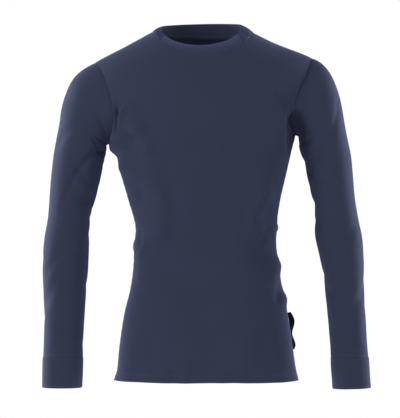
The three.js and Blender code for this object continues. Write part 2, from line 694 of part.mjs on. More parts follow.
// Neckband
function neckbandGeometry(panels) {
  const seam = [];
  for (const [grid, side] of [[panels.front, -1], [panels.back, 1]]) {
    const top = grid.outer.length - 1;
    const found = grid.columns.map((column, index) => ({ column, index }));
    const neck = found.filter(({ column }) => column.isNeck);
    if (side > 0) neck.reverse();
    neck.slice(0, -1).forEach(({ column, index }, step) => {
      const point = grid.outer[top][index].clone();
      if (step === 0) point.y = 0;
      const normal = grid.normals[top][index].clone();
      seam.push({ point, normal, isFront: side < 0, angle: Math.PI + side * column.angle });
    });
  }
  const outer = [];
  const edge = seam.map(({ isFront, angle }) => {
    return new THREE.Vector3(
      neckEdge.middle - neckEdge.half * Math.cos(angle),
      -Math.sin(angle) * (isFront ? neckEdge.front : neckEdge.back),
      -Math.sin(angle) * (isFront ? neckEdge.frontDrop : neckEdge.backRise) -
        neckEdge.tilt * Math.cos(angle),
    );
  });
  for (let row = 0; row <= bandRows; row += 1) {
    const share = row / bandRows;
    outer.push(
      seam.map(({ point, normal }, index) => {
        const reach = edge[index].clone().sub(point);
        const start = point.clone().addScaledVector(reach.clone().normalize(), seamGap);
        const bulge = bandBulge * Math.sin(Math.PI * share);
        return start.lerp(edge[index], share).addScaledVector(normal, bulge);
      }),
    );
  }
  const normals = ringNormals(outer);
  normals[0] = seam.map((each) => each.normal);
  const proud = offsetRings(outer, normals, bandProud);
  return wallGeometry(proud, offsetRings(outer, normals, bandProud - doubledWall), true);
}

// Label
function labelGeometry() {
  const swingAt = lineThrough(labelSwings, "z", "swing");
  const [front, back] = [[], []];
  for (let row = 0; row <= label.rows; row += 1) {
    const z = label.bottom + (label.top - label.bottom) * (row / label.rows);
    const swing = THREE.MathUtils.degToRad(swingAt(z));
    const seam = lowerTorsoPoint(-1, quarterTurn, z);
    const out = new THREE.Vector3(Math.cos(swing), Math.sin(swing), 0);
    const across = new THREE.Vector3(-Math.sin(swing), Math.cos(swing), 0);
    const start = new THREE.Vector3(seam.x + label.root, 0, seam.z);
    const frontRow = [];
    const backRow = [];
    for (let column = 0; column <= label.columns; column += 1) {
      const middle = start.clone().addScaledVector(out, label.width * (column / label.columns));
      frontRow.push(middle.clone().addScaledVector(across, -labelWall / 2));
      backRow.push(middle.clone().addScaledVector(across, labelWall / 2));
    }
    front.push(frontRow);
    back.push(backRow);
  }
  return wallGeometry(front, back, false);
}

// Assembly
function piece(name, geometry, finish) {
  const mesh = new THREE.Mesh(geometry, new THREE.MeshStandardMaterial(finish));
  mesh.name = name;
  return mesh;
}

const panels = { front: panelGrid(-1), back: panelGrid(1) };
const armholes = { right: armholeRing(panels, -1), left: armholeRing(panels, 1) };

const top = new THREE.Group();
top.add(
  piece("front", wallGeometry(panels.front.outer, panels.front.inner, false), bodyCloth),
  piece("back", wallGeometry(panels.back.outer, panels.back.inner, false), bodyCloth),
  piece(
    "sleeve_right",
    sleeveGeometry(armholes.right, rightSleeveRings, rightSleeveFolds),
    bodyCloth,
  ),
  piece("sleeve_left", sleeveGeometry(armholes.left, leftSleeveRings, leftSleeveFolds), bodyCloth),
  piece("neckband", neckbandGeometry(panels), bandCloth),
  piece("cuff_right", cuffGeometry(rightCuffRings, ringAngles(armholes.right)), bandCloth),
  piece("cuff_left", cuffGeometry(leftCuffRings, ringAngles(armholes.left)), bandCloth),
  piece("side_label", labelGeometry(), labelCloth),
);

export default top;
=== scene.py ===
import math
import bpy
import numpy as np
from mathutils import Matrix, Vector, noise


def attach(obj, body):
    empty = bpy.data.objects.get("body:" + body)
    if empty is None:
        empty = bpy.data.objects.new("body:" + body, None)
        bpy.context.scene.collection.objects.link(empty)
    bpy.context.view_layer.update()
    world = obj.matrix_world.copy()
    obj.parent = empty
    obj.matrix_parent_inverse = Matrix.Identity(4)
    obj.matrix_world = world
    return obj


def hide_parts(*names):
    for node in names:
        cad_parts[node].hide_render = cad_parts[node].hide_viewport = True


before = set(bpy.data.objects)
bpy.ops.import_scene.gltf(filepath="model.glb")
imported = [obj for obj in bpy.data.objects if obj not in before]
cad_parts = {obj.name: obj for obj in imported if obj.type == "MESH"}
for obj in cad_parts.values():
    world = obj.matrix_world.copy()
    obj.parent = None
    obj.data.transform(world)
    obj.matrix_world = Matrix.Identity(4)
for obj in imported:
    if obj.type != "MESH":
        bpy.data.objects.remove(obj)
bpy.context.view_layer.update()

mm = 0.001
quarterTurn = math.pi / 2
body = "root"

# Camera: level, 4 m in front, and framed as a 400 x 418 picture
cameraSettings = {
    "place": (-0.004, -4.0, -0.366),
    "viewHeight": 0.836,  # metres seen from top to bottom at y = 0
    "sensor": 36.0,
}


def addObject(name, data):
    made = bpy.data.objects.new(name, data)
    bpy.context.scene.collection.objects.link(made)
    return made


def selectOnly(piece):
    bpy.ops.object.select_all(action="DESELECT")
    piece.select_set(True)
    bpy.context.view_layer.objects.active = piece


def makeCamera(settings):
    data = bpy.data.cameras.new("camera")
    data.sensor_width = settings["sensor"]
    data.lens = settings["sensor"] * abs(settings["place"][1]) / settings["viewHeight"]
    camera = addObject("camera", data)
    camera.location = settings["place"]
    camera.rotation_euler = (quarterTurn, 0, 0)
    bpy.context.scene.camera = camera
    bpy.context.view_layer.update()


makeCamera(cameraSettings)
print("camera placed")


# Tables and curves

def rowsOf(columns, rows):
    values = np.array(rows, float)
    return {name: values[:, index] for index, name in enumerate(columns.split())}


# A smooth line through the rows of a table: one column as a function of another.
def lineThrough(keys, values):
    order = np.argsort(keys)
    keys, values = np.asarray(keys)[order], np.asarray(values)[order]
    number = np.arange(len(keys))
    before, after = np.maximum(number - 1, 0), np.minimum(number + 1, len(keys) - 1)
    slopes = (values[after] - values[before]) / (keys[after] - keys[before])

    def at(value):
        low = np.clip(np.searchsorted(keys, value) - 1, 0, len(keys) - 2)
        span = keys[low + 1] - keys[low]
        t = np.clip((value - keys[low]) / span, 0, 1)
        rest = 1 - t
        return (
            values[low] * (1 + 2 * t) * rest * rest
            + values[low + 1] * (3 - 2 * t) * t * t
            + slopes[low] * span * t * rest * rest
            - slopes[low + 1] * span * t * t * rest
        )

    return at


# A point of a rounded square of half size 1, at an angle from its first axis.
def roundedSquare(angle, squareness):
    along, across = np.cos(angle), np.sin(angle)
    size = (np.abs(along) ** squareness + np.abs(across) ** squareness) ** (1 / squareness)
    return along / size, across / size


def angleOfShare(share, squareness):
    rest = np.maximum(1 - np.abs(share) ** squareness, 0) ** (1 / squareness)
    return np.arctan2(share, rest)


# 1 at 0, and falling to both sides
def bell(value):
    return np.exp(-(value**2))


def unit(vectors):
    length = np.linalg.norm(vectors, axis=-1, keepdims=True)
    return vectors / np.maximum(length, 1e-9)


# Creases are rows of a table: a line in the front view that bows sideways, with the width
# and depth of its trough. A negative depth makes a ridge. lip raises the cloth beside it.
creaseColumns = "fromX fromZ toX toZ bow width depth"
creaseShape = {
    "endPower": 4,    # how squarely a crease runs out at its ends
    "lipPlace": 1.9,  # where the cloth beside it is raised, in widths from its middle
}


def creaseDepth(table, x, z, lip):
    depth = np.zeros_like(x)
    for fromX, fromZ, toX, toZ, bow, width, deep in zip(*table.values()):
        runX, runZ = toX - fromX, toZ - fromZ
        length = math.hypot(runX, runZ)
        along = ((x - fromX) * runX + (z - fromZ) * runZ) / length**2
        across = ((x - fromX) * runZ - (z - fromZ) * runX) / length
        across = (across - bow * (1 - (2 * along - 1) ** 2)) / width
        ends = np.clip(1 - np.abs(2 * along - 1) ** creaseShape["endPower"], 0, 1)
        beside = np.abs(across) - creaseShape["lipPlace"]
        depth += deep * ends * (bell(across) - lip * bell(beside))
    return depth


# Slow unevenness of worn cloth, in millimetres
def unevenness(points, size, height, seed):
    flat = points.reshape(-1, 3) / size
    values = [noise.noise(Vector((x + seed, y, z))) for x, y, z in flat]
    return height * np.array(values).reshape(points.shape[:-1])


# Torso
torsoShape = {
    "hem": 17,            # height of the turned hem
    "hemProud": 0.5,
    "hemStep": 1.2,       # height over which the hem's fold edge steps back
    "hemSharpness": 3,
    "hemLift": (1.9, -0.4, 120),  # rise between the seams, less towards +X, and its reach
    "hemWave": (190, -56, 0.5),    # length, lowest place and height of the hem's wave
    "hemFlutes": (61, 1.5, 0.63, 0.7),  # length and depth of the soft flutes above the hem,
                                        # and a second wave's, as shares of them
    "fluteShift": 1,
    "sideShift": 2,       # shift of the waves in radians, times the side
    # Powers of the share of the half width: a high one keeps a change close to the side seams
    "fluteFade": 6,
    "mainFade": 10,
    "fineFade": 40,
    "puckerSpread": 10,
    "lobePlace": (0.975, 0.02, 90),  # where the back panel's lobes lie, their reach and fade
    "squareness": 2.5,
    "wall": 1.2,
    "seamGap": 0.3,
    "seamDip": 0.3,       # how far the edges roll in at a seam
    "seamReach": 1.8,
    "armpitRoll": (2.8, 3.6, 22, 22),  # depth and reach of the roll into the armhole, its
                                       # height above the armpit and its half height
    "rowHeight": 3.5,
    "hemEdgeRows": (0, 1.2, 3),
    "hemRows": (6, 2, 4),  # from the hem's edge, below its top, and how many
    "aboveHem": 4,
    "shoulderColumns": 42,
    "edgeColumns": (0.3, 0.62),  # finer columns and rows beside a seam, as shares of a step
    "edgeRows": (0.5, 0.8),
    "neckColumns": 70,
    "neckSamples": 721,
    "upperRows": 66,
    "columnShift": 1.5,   # power of the rise at which the columns move to the neck
    "lip": 0.22,
    "creaseSlant": 0.25,  # how far the finer creases lean to the side as they go in
    "uneven": (74, 0.55, 26),  # size, height and start from the seams of the unevenness
    "seamRipple": (15, 0.35, 9, 3),  # length and height, end and start from the seam
    "seed": 3.1,
}
torsoSections = rowsOf("z left right front back tilt", [
    (-707, -175.5, 192.5, 113, 120, 0), (-690, -170, 188.5, 111, 118, 0),
    (-640, -165, 181, 109, 116, 0), (-580, -156, 172, 106, 109, 0), (-530, -144, 162, 104, 101, 0),
    (-490, -138, 154.5, 103, 95, 0), (-440, -134.5, 148.6, 102, 93, 0),
    (-400, -133, 149, 104, 96, 0), (-350, -146.5, 156, 107, 103, 0),
    (-300, -161, 167.3, 110, 110, 0), (-262, -170.5, 176, 111, 112, 0),
    (-248, -183, 180, 112, 113, 2), (-227, -186.5, 187.5, 112, 113, 9),
])
shoulderRidge = rowsOf("x z", [
    (-225, -80.5), (-204, -68.4), (-159, -44.7), (-137, -32.7), (-101, -13.2), (-50, 12), (0, 23),
    (50, 12.5), (101, -12.8), (141, -33), (170, -44.8), (204, -57.8), (229, -69.6),
])
ridgeMiddle = 2
ridgeHalf = 225
ridgeSquareness = {-1: 1.9, 1: 2.5, "tip": 2.8}
evenWidening = (0.45, 0.85)  # shares where the sides start to widen evenly
armhole = rowsOf("rise right left back", [
    (0, 1, 1, 1), (0.03, 0.982, 0.991, 0.992), (0.08, 0.948, 0.968, 0.972),
    (0.15, 0.905, 0.93, 0.95), (0.24, 0.877, 0.898, 0.935), (0.35, 0.881, 0.913, 0.933),
    (0.47, 0.897, 0.945, 0.94), (0.59, 0.917, 0.958, 0.948), (0.71, 0.937, 0.962, 0.953),
    (0.82, 0.95, 0.961, 0.956), (0.92, 0.955, 0.958, 0.957), (1, 0.957, 0.957, 0.957),
])
neckShare = 0.449  # neck points, as a share of the ridge's half width
neckDrop = {-1: 48, 1: 2.5}
neckBend = (2, 0.8)  # how high up the columns turn to the neckline
neckSpread = 0.2     # how much wider the neck's columns stand at the armpits

# Puckers along the side seams: seam moves both panels out, lobe the back panel behind it.
sidePuckers = rowsOf("side z seam lobe half", [
    (-1, -284, 2.6, 1, 10), (-1, -440, 1.8, 7.5, 19), (1, -404, 1.8, 8.5, 14),
    (1, -478, 5.6, 2.5, 15), (1, -544, 5.2, 3, 13), (1, -620, 0.6, 2.2, 16),
    (-1, -556, 0.5, 1.8, 22),
])

# The largest folds, which the solids have too
mainFolds = {
    -1: rowsOf(creaseColumns, [
        (-172, -196, -96, -168, 0, 15, 3.2), (176, -190, 104, -160, 0, 15, 3.2),
        (-160, -262, -92, -296, 0, 17, 2.6), (-132, -398, -66, -470, 0, 19, 3.4),
        (142, -424, 84, -492, 0, 18, 3), (152, -520, 92, -560, 0, 17, 2.4),
    ]),
    1: rowsOf(creaseColumns, [
        (-164, -150, -70, -250, 0, 20, 3.4), (166, -142, 72, -246, 0, 20, 3.4),
        (-126, -386, 40, -424, 0, 20, 3.6), (132, -424, -34, -462, 0, 19, 3.2),
        (-118, -470, 10, -500, 0, 18, 2.4),
    ]),
}
# Finer creases, placed one by one
fineCreases = {
    -1: rowsOf(creaseColumns, [
        # Pleats beside the right armhole
        (-156, -158, -171, -182, 0, 3.5, 3.6), (-168, -156, -170.5, -216, 0, 4.5, 6.5),
        (-172, -208, -138, -220, -4, 6, 3), (-172, -232, -118, -226, 4, 8, 2.4),
        # The hollow beside the left armhole, and its pleats
        (182, -170, 184, -262, 0, 12, 24), (158, -214, 178, -256, 0, 6, 3.5),
        (144, -142, 176, -170, 2, 5, 3.2), (174, -160, 184, -206, 2, 4, 3.8),
        (166, -176, 172, -214, 0, 3.5, 2.5), (178, -222, 128, -214, 4, 8, 2),
        # Fullness below the chest
        (-152, -190, -112, -214, 0, 14, -4.2), (-112, -216, -102, -334, 0, 19, -5.5),
        # The waist on the right
        (-94, -306, -110, -460, -22, 19, -9), (-108, -428, -130, -472, 0, 7, -3),
        (-124, -398, -122, -444, 0, 5, 3.5), (-128, -448, -136, -520, 2, 7, 2),
        (-116, -330, -136, -372, -3, 9, 2.4),
        # The chest and the waist on the left
        (150, -196, 128, -214, 0, 13, -2.6), (124, -286, 112, -356, -3, 17, -4.4),
        (94, -394, 140, -318, 0, 14, -6), (94, -380, 130, -440, 0, 14, -6),
        (132, -398, 112, -446, 3, 6, 2.6), (136, -396, 146, -436, 0, 4, -1.8),
        (146, -444, 96, -472, -4, 9, 2.4), (150, -474, 118, -520, -5, 8, -2),
        (160, -498, 148, -556, 0, 9, 7.5),
        # Soft creases of the front and above the hem
        (-36, -238, 36, -250, 5, 26, 1.8), (-74, -170, -110, -192, -4, 11, 1.5),
        (-52, -300, -70, -420, 6, 26, 2.4), (44, -330, 30, -470, -6, 28, 2.2),
        (-60, -540, 44, -566, -8, 24, 2), (-110, -600, -64, -668, 6, 20, 3),
        (22, -604, 44, -690, -5, 22, 3), (120, -598, 136, -690, 5, 19, 3.2),
        (-20, -620, -26, -700, 4, 20, -1.6),
    ]),
    1: rowsOf(creaseColumns, [
        (-170, -160, -158, -232, 4, 7, 4), (170, -152, 156, -236, -4, 7, 4.2),
        (-148, -176, -92, -276, 10, 12, 3), (146, -170, 96, -280, -9, 12, 3.2),
        (-58, -96, 52, -104, -6, 22, 2.2), (-30, -190, -52, -330, 6, 24, 2.2),
        (24, -200, 46, -340, -5, 22, -2), (-120, -356, -20, -374, -8, 12, 3.4),
        (122, -386, 26, -410, 8, 11, 3.4), (-112, -430, 66, -448, 6, 12, -3),
        (124, -468, 8, -488, -6, 11, 3.2), (-108, -512, -24, -528, 5, 12, 2.6),
        (112, -530, 30, -546, -5, 13, 2.4), (-84, -560, -96, -690, 6, 22, 3),
        (-6, -548, 4, -696, -5, 24, 2.6), (92, -570, 104, -694, 4, 21, 3),
    ]),
}

sectionLine = {
    name: lineThrough(torsoSections["z"], torsoSections[name])
    for name in ("left", "right", "front", "back", "tilt")
}
ridgeHeight = lineThrough(shoulderRidge["x"], shoulderRidge["z"])
hemZ = torsoSections["z"][0]
neckTurn = angleOfShare(neckShare, torsoShape["squareness"])
chestRow = {name: column[-1] for name, column in torsoSections.items()}


def ridgeSquarenessAt(side, share):
    middle = ridgeSquareness[side]
    return middle + (ridgeSquareness["tip"] - middle) * share * share


def lowerTorso(side, along, across, z):
    left, right = sectionLine["left"](z), sectionLine["right"](z)
    depth = sectionLine["front" if side < 0 else "back"](z)
    x = (left + right) / 2 + (right - left) / 2 * across
    y = side * depth * along
    lobeShare, lobeReach, lobeFade = torsoShape["lobePlace"]
    for end, middle, seam, lobe, half in zip(*sidePuckers.values()):
        toSeam = np.maximum(across * end, 0)
        near = bell((z - middle) / half)
        x = x + end * seam * near * toSeam ** torsoShape["puckerSpread"]
        if side > 0:
            inLobe = bell((toSeam - lobeShare) / lobeReach)
            x = x + end * lobe * near * inLobe * (1 - toSeam**lobeFade)
    base, towardsLeft, reach = torsoShape["hemLift"]
    toHem = np.maximum(1 - (z - hemZ) / reach, 0)
    length, lowest, height = torsoShape["hemWave"]
    wave = -height * np.cos(2 * math.pi * (x - lowest) / length)
    lift = toHem * toHem * np.abs(along) * (base + towardsLeft * across + wave)
    fluteLength, fluteDepth, secondLength, secondDepth = torsoShape["hemFlutes"]
    flutes = np.sin(2 * math.pi * x / fluteLength + torsoShape["sideShift"] * side)
    second = np.sin(2 * math.pi * x / (secondLength * fluteLength) + torsoShape["fluteShift"])
    flutes = flutes + secondDepth * second
    y = y + side * fluteDepth * flutes * toHem * toHem * (1 - across ** torsoShape["fluteFade"])
    return np.stack([x, y, z + sectionLine["tilt"](z) * across + lift], axis=-1)


def upperTorso(side, along, across, rise):
    archAlong, archAcross = roundedSquare(rise * quarterTurn, ridgeSquarenessAt(side, across))
    ridgeX = ridgeMiddle + ridgeHalf * across
    chestX = (chestRow["left"] + chestRow["right"]) / 2
    chestX = chestX + (chestRow["right"] - chestRow["left"]) / 2 * across
    chestZ = chestRow["z"] + chestRow["tilt"] * across
    depth = chestRow["front" if side < 0 else "back"]
    start, end = evenWidening
    even = np.clip((np.abs(across) - start) / (end - start), 0, 1)
    even = even * even * (3 - 2 * even)
    return np.stack([
        chestX + (ridgeX - chestX) * ((1 - even) * (1 - np.abs(archAlong)) + even * archAcross),
        side * depth * along * archAlong,
        chestZ + (ridgeHeight(ridgeX) - chestZ) * archAcross,
    ], axis=-1)


# level is a height in millimetres below the armpits and a rise from 0 to 1 above them.
def torsoPoint(side, turn, level):
    along, across = roundedSquare(turn, torsoShape["squareness"])
    lower = lowerTorso(side, along, across, chestRow["z"] + np.minimum(level, 0))
    upper = upperTorso(side, along, across, np.maximum(level, 0))
    points = np.where((level >= 0)[..., None], upper, lower)
    inward = unit(points * (-1, -1, 0))
    main = creaseDepth(mainFolds[side], points[..., 0], points[..., 2], 0)
    points = points + inward * (main * (1 - np.abs(across) ** torsoShape["mainFade"]))[..., None]
    fine = creaseDepth(fineCreases[side], points[..., 0], points[..., 2], torsoShape["lip"])
    inward = unit(points * (-torsoShape["creaseSlant"], -1, 0))
    return points + inward * (fine * (1 - np.abs(across) ** torsoShape["fineFade"]))[..., None]


# The share and the rise of points along the neckline, at angles from its +X neck point
def necklineAt(side, angles):
    share = neckShare * np.cos(angles)
    ends = ridgeHeight(ridgeMiddle + ridgeHalf * neckShare * np.array([-1, 1]))
    z = ends[0] + (ends[1] - ends[0]) * (1 + np.cos(angles)) / 2 - neckDrop[side] * np.sin(angles)
    chestZ = chestRow["z"] + chestRow["tilt"] * share
    height = (z - chestZ) / (ridgeHeight(ridgeMiddle + ridgeHalf * share) - chestZ)
    top = angleOfShare(np.minimum(height, 1), ridgeSquarenessAt(side, share)) / quarterTurn
    top[[0, -1]] = 1
    return share, top


# Columns run from -2 and 2 at the armholes over -1 and 1 at the neck points. low and high
# are a column's place below the armpits and at the top, top is the rise of its upper end.
def panelColumns(side):
    angles = np.linspace(math.pi, 0, torsoShape["neckSamples"])
    share, top = necklineAt(side, angles)
    line = torsoPoint(side, angleOfShare(share, torsoShape["squareness"]), top)
    lengths = lengthsAlong(line, 0)
    even = np.linspace(0, lengths[-1], torsoShape["neckColumns"] + 1)
    angles = np.interp(even, lengths, angles)
    share, top = necklineAt(side, angles)
    neck = angleOfShare(share, torsoShape["squareness"]) / neckTurn
    outer = np.linspace(2, 1, torsoShape["shoulderColumns"] + 1)[:-1]
    firstGap = outer[1] - outer[0]
    outer = np.insert(outer, 1, [outer[0] + firstGap * part for part in torsoShape["edgeColumns"]])
    plain = np.ones(len(outer))
    low = np.concatenate([-outer, np.linspace(-1, 1, len(neck)), outer[::-1]])
    high = np.concatenate([-outer, neck, outer[::-1]])
    isNeck = np.abs(low) <= 1
    return low, high, np.concatenate([plain, top, plain]), isNeck, angles


def turnAt(place, rise, edgeTurns):
    edgeTurn = np.where(place < 0, edgeTurns[:, :1], edgeTurns[:, 1:])
    neckAt = neckTurn * (1 + neckSpread * (1 - rise))
    beyond = np.maximum(np.abs(place) - 1, 0)
    return np.sign(place) * (np.minimum(np.abs(place), 1) * neckAt + beyond * (edgeTurn - neckAt))


def panelRows(side):
    step = torsoShape["hemStep"]
    hemTop = hemZ + torsoShape["hem"]
    fromEdge, belowTop, hemCount = torsoShape["hemRows"]
    plainCount = int((chestRow["z"] - hemTop) / torsoShape["rowHeight"])
    low = np.concatenate([
        np.array(torsoShape["hemEdgeRows"]) + hemZ,
        np.linspace(hemZ + fromEdge, hemTop - belowTop, hemCount),
        hemTop + np.array([-step, 0, step]),
        np.linspace(hemTop + torsoShape["aboveHem"], chestRow["z"], plainCount)[:-1],
    ])
    rise = np.linspace(0, 1, torsoShape["upperRows"] + 1)
    rise = np.insert(rise, -1, [rise[-2] + part * rise[1] for part in torsoShape["edgeRows"]])
    edges = []
    for name in ("right", "left") if side < 0 else ("back", "back"):
        share = np.minimum(lineThrough(armhole["rise"], armhole[name])(rise), 1)
        edge = angleOfShare(share, torsoShape["squareness"])
        edges.append(np.concatenate([np.full(len(low), quarterTurn), edge]))
    return np.concatenate([low - chestRow["z"], rise]), np.stack(edges, axis=1)


# Unit normals of a grid of points, pointing away from the middle of the piece
def gridNormals(points, isTube):
    if isTube:
        across = np.roll(points, -1, axis=1) - np.roll(points, 1, axis=1)
    else:
        across = np.gradient(points, axis=1)
    normals = unit(np.cross(across, np.gradient(points, axis=0)))
    middle = points.mean(axis=1, keepdims=True) if isTube else points.mean(axis=(0, 1)) * (1, 0, 1)
    outward = np.sum(normals * (points - middle), axis=(1, 2), keepdims=True)
    return normals * np.sign(outward.sum() if not isTube else outward)


def lengthsAlong(points, axis):
    steps = np.linalg.norm(np.diff(points, axis=axis), axis=-1)
    start = np.zeros_like(np.take(steps, [0], axis=axis))
    return np.concatenate([start, np.cumsum(steps, axis=axis)], axis=axis)


# How near each point of a grid is to its edges, in millimetres
def distanceToEdges(points, edges):
    across, up = lengthsAlong(points, 1), lengthsAlong(points, 0)
    distances = {"left": across, "right": across[:, -1:] - across, "top": up[-1:] - up}
    return np.minimum.reduce([distances[edge] for edge in edges])


def panelGrid(side):
    low, high, top, isNeck, neckAngles = panelColumns(side)
    level, edgeTurns = panelRows(side)
    bend = np.minimum(neckBend[0], neckBend[1] / np.maximum(1 - top, 1e-6) - 1)
    rise = np.maximum(level, 0)[:, None]
    bent = rise * (1 - (1 - top) * rise**bend)
    levels = np.where(level[:, None] > 0, bent, level[:, None] + 0 * top)
    turn = turnAt(low + (high - low) * rise ** torsoShape["columnShift"], rise, edgeTurns)
    points = torsoPoint(side, turn, levels)
    points[..., 1] = side * np.maximum(side * points[..., 1], 0)
    normals = gridNormals(points, False)
    seams = distanceToEdges(points, ("left", "right", "top"))
    size, height, start = torsoShape["uneven"]
    push = unevenness(points, size, height, torsoShape["seed"] * side) * (1 - bell(seams / start))
    push -= torsoShape["seamDip"] * bell(seams / torsoShape["seamReach"])
    roll, reach, height, half = torsoShape["armpitRoll"]
    above = points[..., 2] - chestRow["z"] - height
    push -= roll * np.exp(-((seams / reach) ** 2) - (above / half) ** 2)
    fromHem = lengthsAlong(points, 0)
    wave, swell, end, start = torsoShape["seamRipple"]
    ripple = np.sin(fromHem * 2 * math.pi / wave + torsoShape["sideShift"] * side)
    push += swell * ripple * bell(seams / end) * (1 - bell(seams / start))
    hemEdge = (fromHem - torsoShape["hem"]) / torsoShape["hemStep"]
    stepped = 1 + np.exp(np.clip(torsoShape["hemSharpness"] * hemEdge, -40, 40))
    push += torsoShape["hemProud"] / stepped
    points = points + normals * push[..., None]
    points[..., 1] += side * torsoShape["seamGap"] / 2
    return {"points": points, "normals": gridNormals(points, False), "isNeck": isNeck,
            "neckAngles": neckAngles,
            "armholeStart": int(np.argmax(level >= 0)), "seams": np.minimum(seams, fromHem)}


# Meshes
sheetShape = {
    "edge": 0.35,       # rounding of the rim
    "edgeSegments": 2,
    "rimAngle": 55,     # degrees, from which an edge is a rim
    "smoothAngle": 50,
    "nearSeam": 3.5,    # reach of the paler cloth beside a seam
}


def makeSheet(name, points, near, wall, isTube=False, edge=sheetShape["edge"],
              edgeSegments=sheetShape["edgeSegments"]):
    rows, width = points.shape[:2]
    if isTube:
        seamed = np.concatenate([points, points[:, :1]], axis=1)
        u = lengthsAlong(seamed, 1).mean(axis=0)[None, :] + np.zeros((rows, 1))
        v = lengthsAlong(seamed, 0)
    else:
        u = lengthsAlong(points, 1)
        u = u - u[:, width // 2 : width // 2 + 1]
        v = lengthsAlong(points, 0)
    row, column = np.meshgrid(np.arange(rows - 1), np.arange(u.shape[1] - 1), indexing="ij")
    row, column = row.ravel(), column.ravel()
    corners = [(row, column), (row, column + 1), (row + 1, column + 1), (row + 1, column)]
    first, second, last = [points[i, j % width] for i, j in (corners[0], corners[1], corners[3])]
    normals = gridNormals(points, isTube)[row, column % width]
    if np.sum(np.cross(second - first, last - first) * normals) < 0:
        corners.reverse()
    faces = np.stack([i * width + j % width for i, j in corners], axis=1)
    mesh = bpy.data.meshes.new(name)
    mesh.from_pydata((points.reshape(-1, 3) * mm).tolist(), [], faces.tolist())
    layer = mesh.uv_layers.new(name="cloth")
    uv = np.stack([np.stack([u[i, j], v[i, j]], axis=1) for i, j in corners], axis=1) * mm
    layer.uv.foreach_set("vector", uv.ravel())
    attribute = mesh.attributes.new("nearSeam", "FLOAT", "POINT")
    attribute.data.foreach_set("value", bell(near.ravel() / sheetShape["nearSeam"]))
    mesh.update()
    sheet = addObject(name, mesh)
    solid = sheet.modifiers.new("wall", "SOLIDIFY")
    solid.thickness = wall * mm
    solid.offset = -1
    rounded = sheet.modifiers.new("edge", "BEVEL")
    rounded.width = edge * mm
    rounded.segments = edgeSegments
    rounded.limit_method = "ANGLE"
    rounded.angle_limit = math.radians(sheetShape["rimAngle"])
    applyModifiers(sheet)
    return sheet


def applyModifiers(piece):
    selectOnly(piece)
    for name in [modifier.name for modifier in piece.modifiers]:
        bpy.ops.object.modifier_apply(modifier=name)
    bpy.ops.object.shade_smooth_by_angle(angle=math.radians(sheetShape["smoothAngle"]))
    bpy.ops.object.select_all(action="DESELECT")


bpy.ops.object.select_all(action="DESELECT")
panels = {side: panelGrid(side) for side in (-1, 1)}
front = makeSheet("front_panel", panels[-1]["points"], panels[-1]["seams"], torsoShape["wall"])
back = makeSheet("back_panel", panels[1]["points"], panels[1]["seams"], torsoShape["wall"])
print("front and back made")


# The points and normals at a distance from the first entry of each line of a grid
def lineInside(points, normals, distance):
    lengths = lengthsAlong(points, 1)
    index = np.minimum(np.sum(lengths < distance, axis=1), points.shape[1] - 1)
    number = np.arange(len(points))
    before = np.maximum(index - 1, 0)
    low, high = lengths[number, before], lengths[number, index]
    t = np.clip((distance - low) / np.maximum(high - low, 1e-6), 0, 1)[:, None]
    return [each[number, before] * (1 - t) + each[number, index] * t for each in (points, normals)]


def insetLines(grid, edge, distances, rows=slice(None), columns=slice(None)):
    points, normals = [grid[name][rows, columns] for name in ("points", "normals")]
    if edge in ("top", "bottom"):
        points, normals = [each.transpose(1, 0, 2) for each in (points, normals)]
    if edge in ("top", "right"):
        points, normals = [each[:, ::-1] for each in (points, normals)]
    return [lineInside(points, normals, distance) for distance in distances]


# Seams: the sleeves and the neckband have an allowance turned in under the panels.
allowanceShape = {"width": 5, "clearance": 0.5}


def underPanel(points, normals):
    return points - normals * (torsoShape["wall"] + allowanceShape["clearance"])


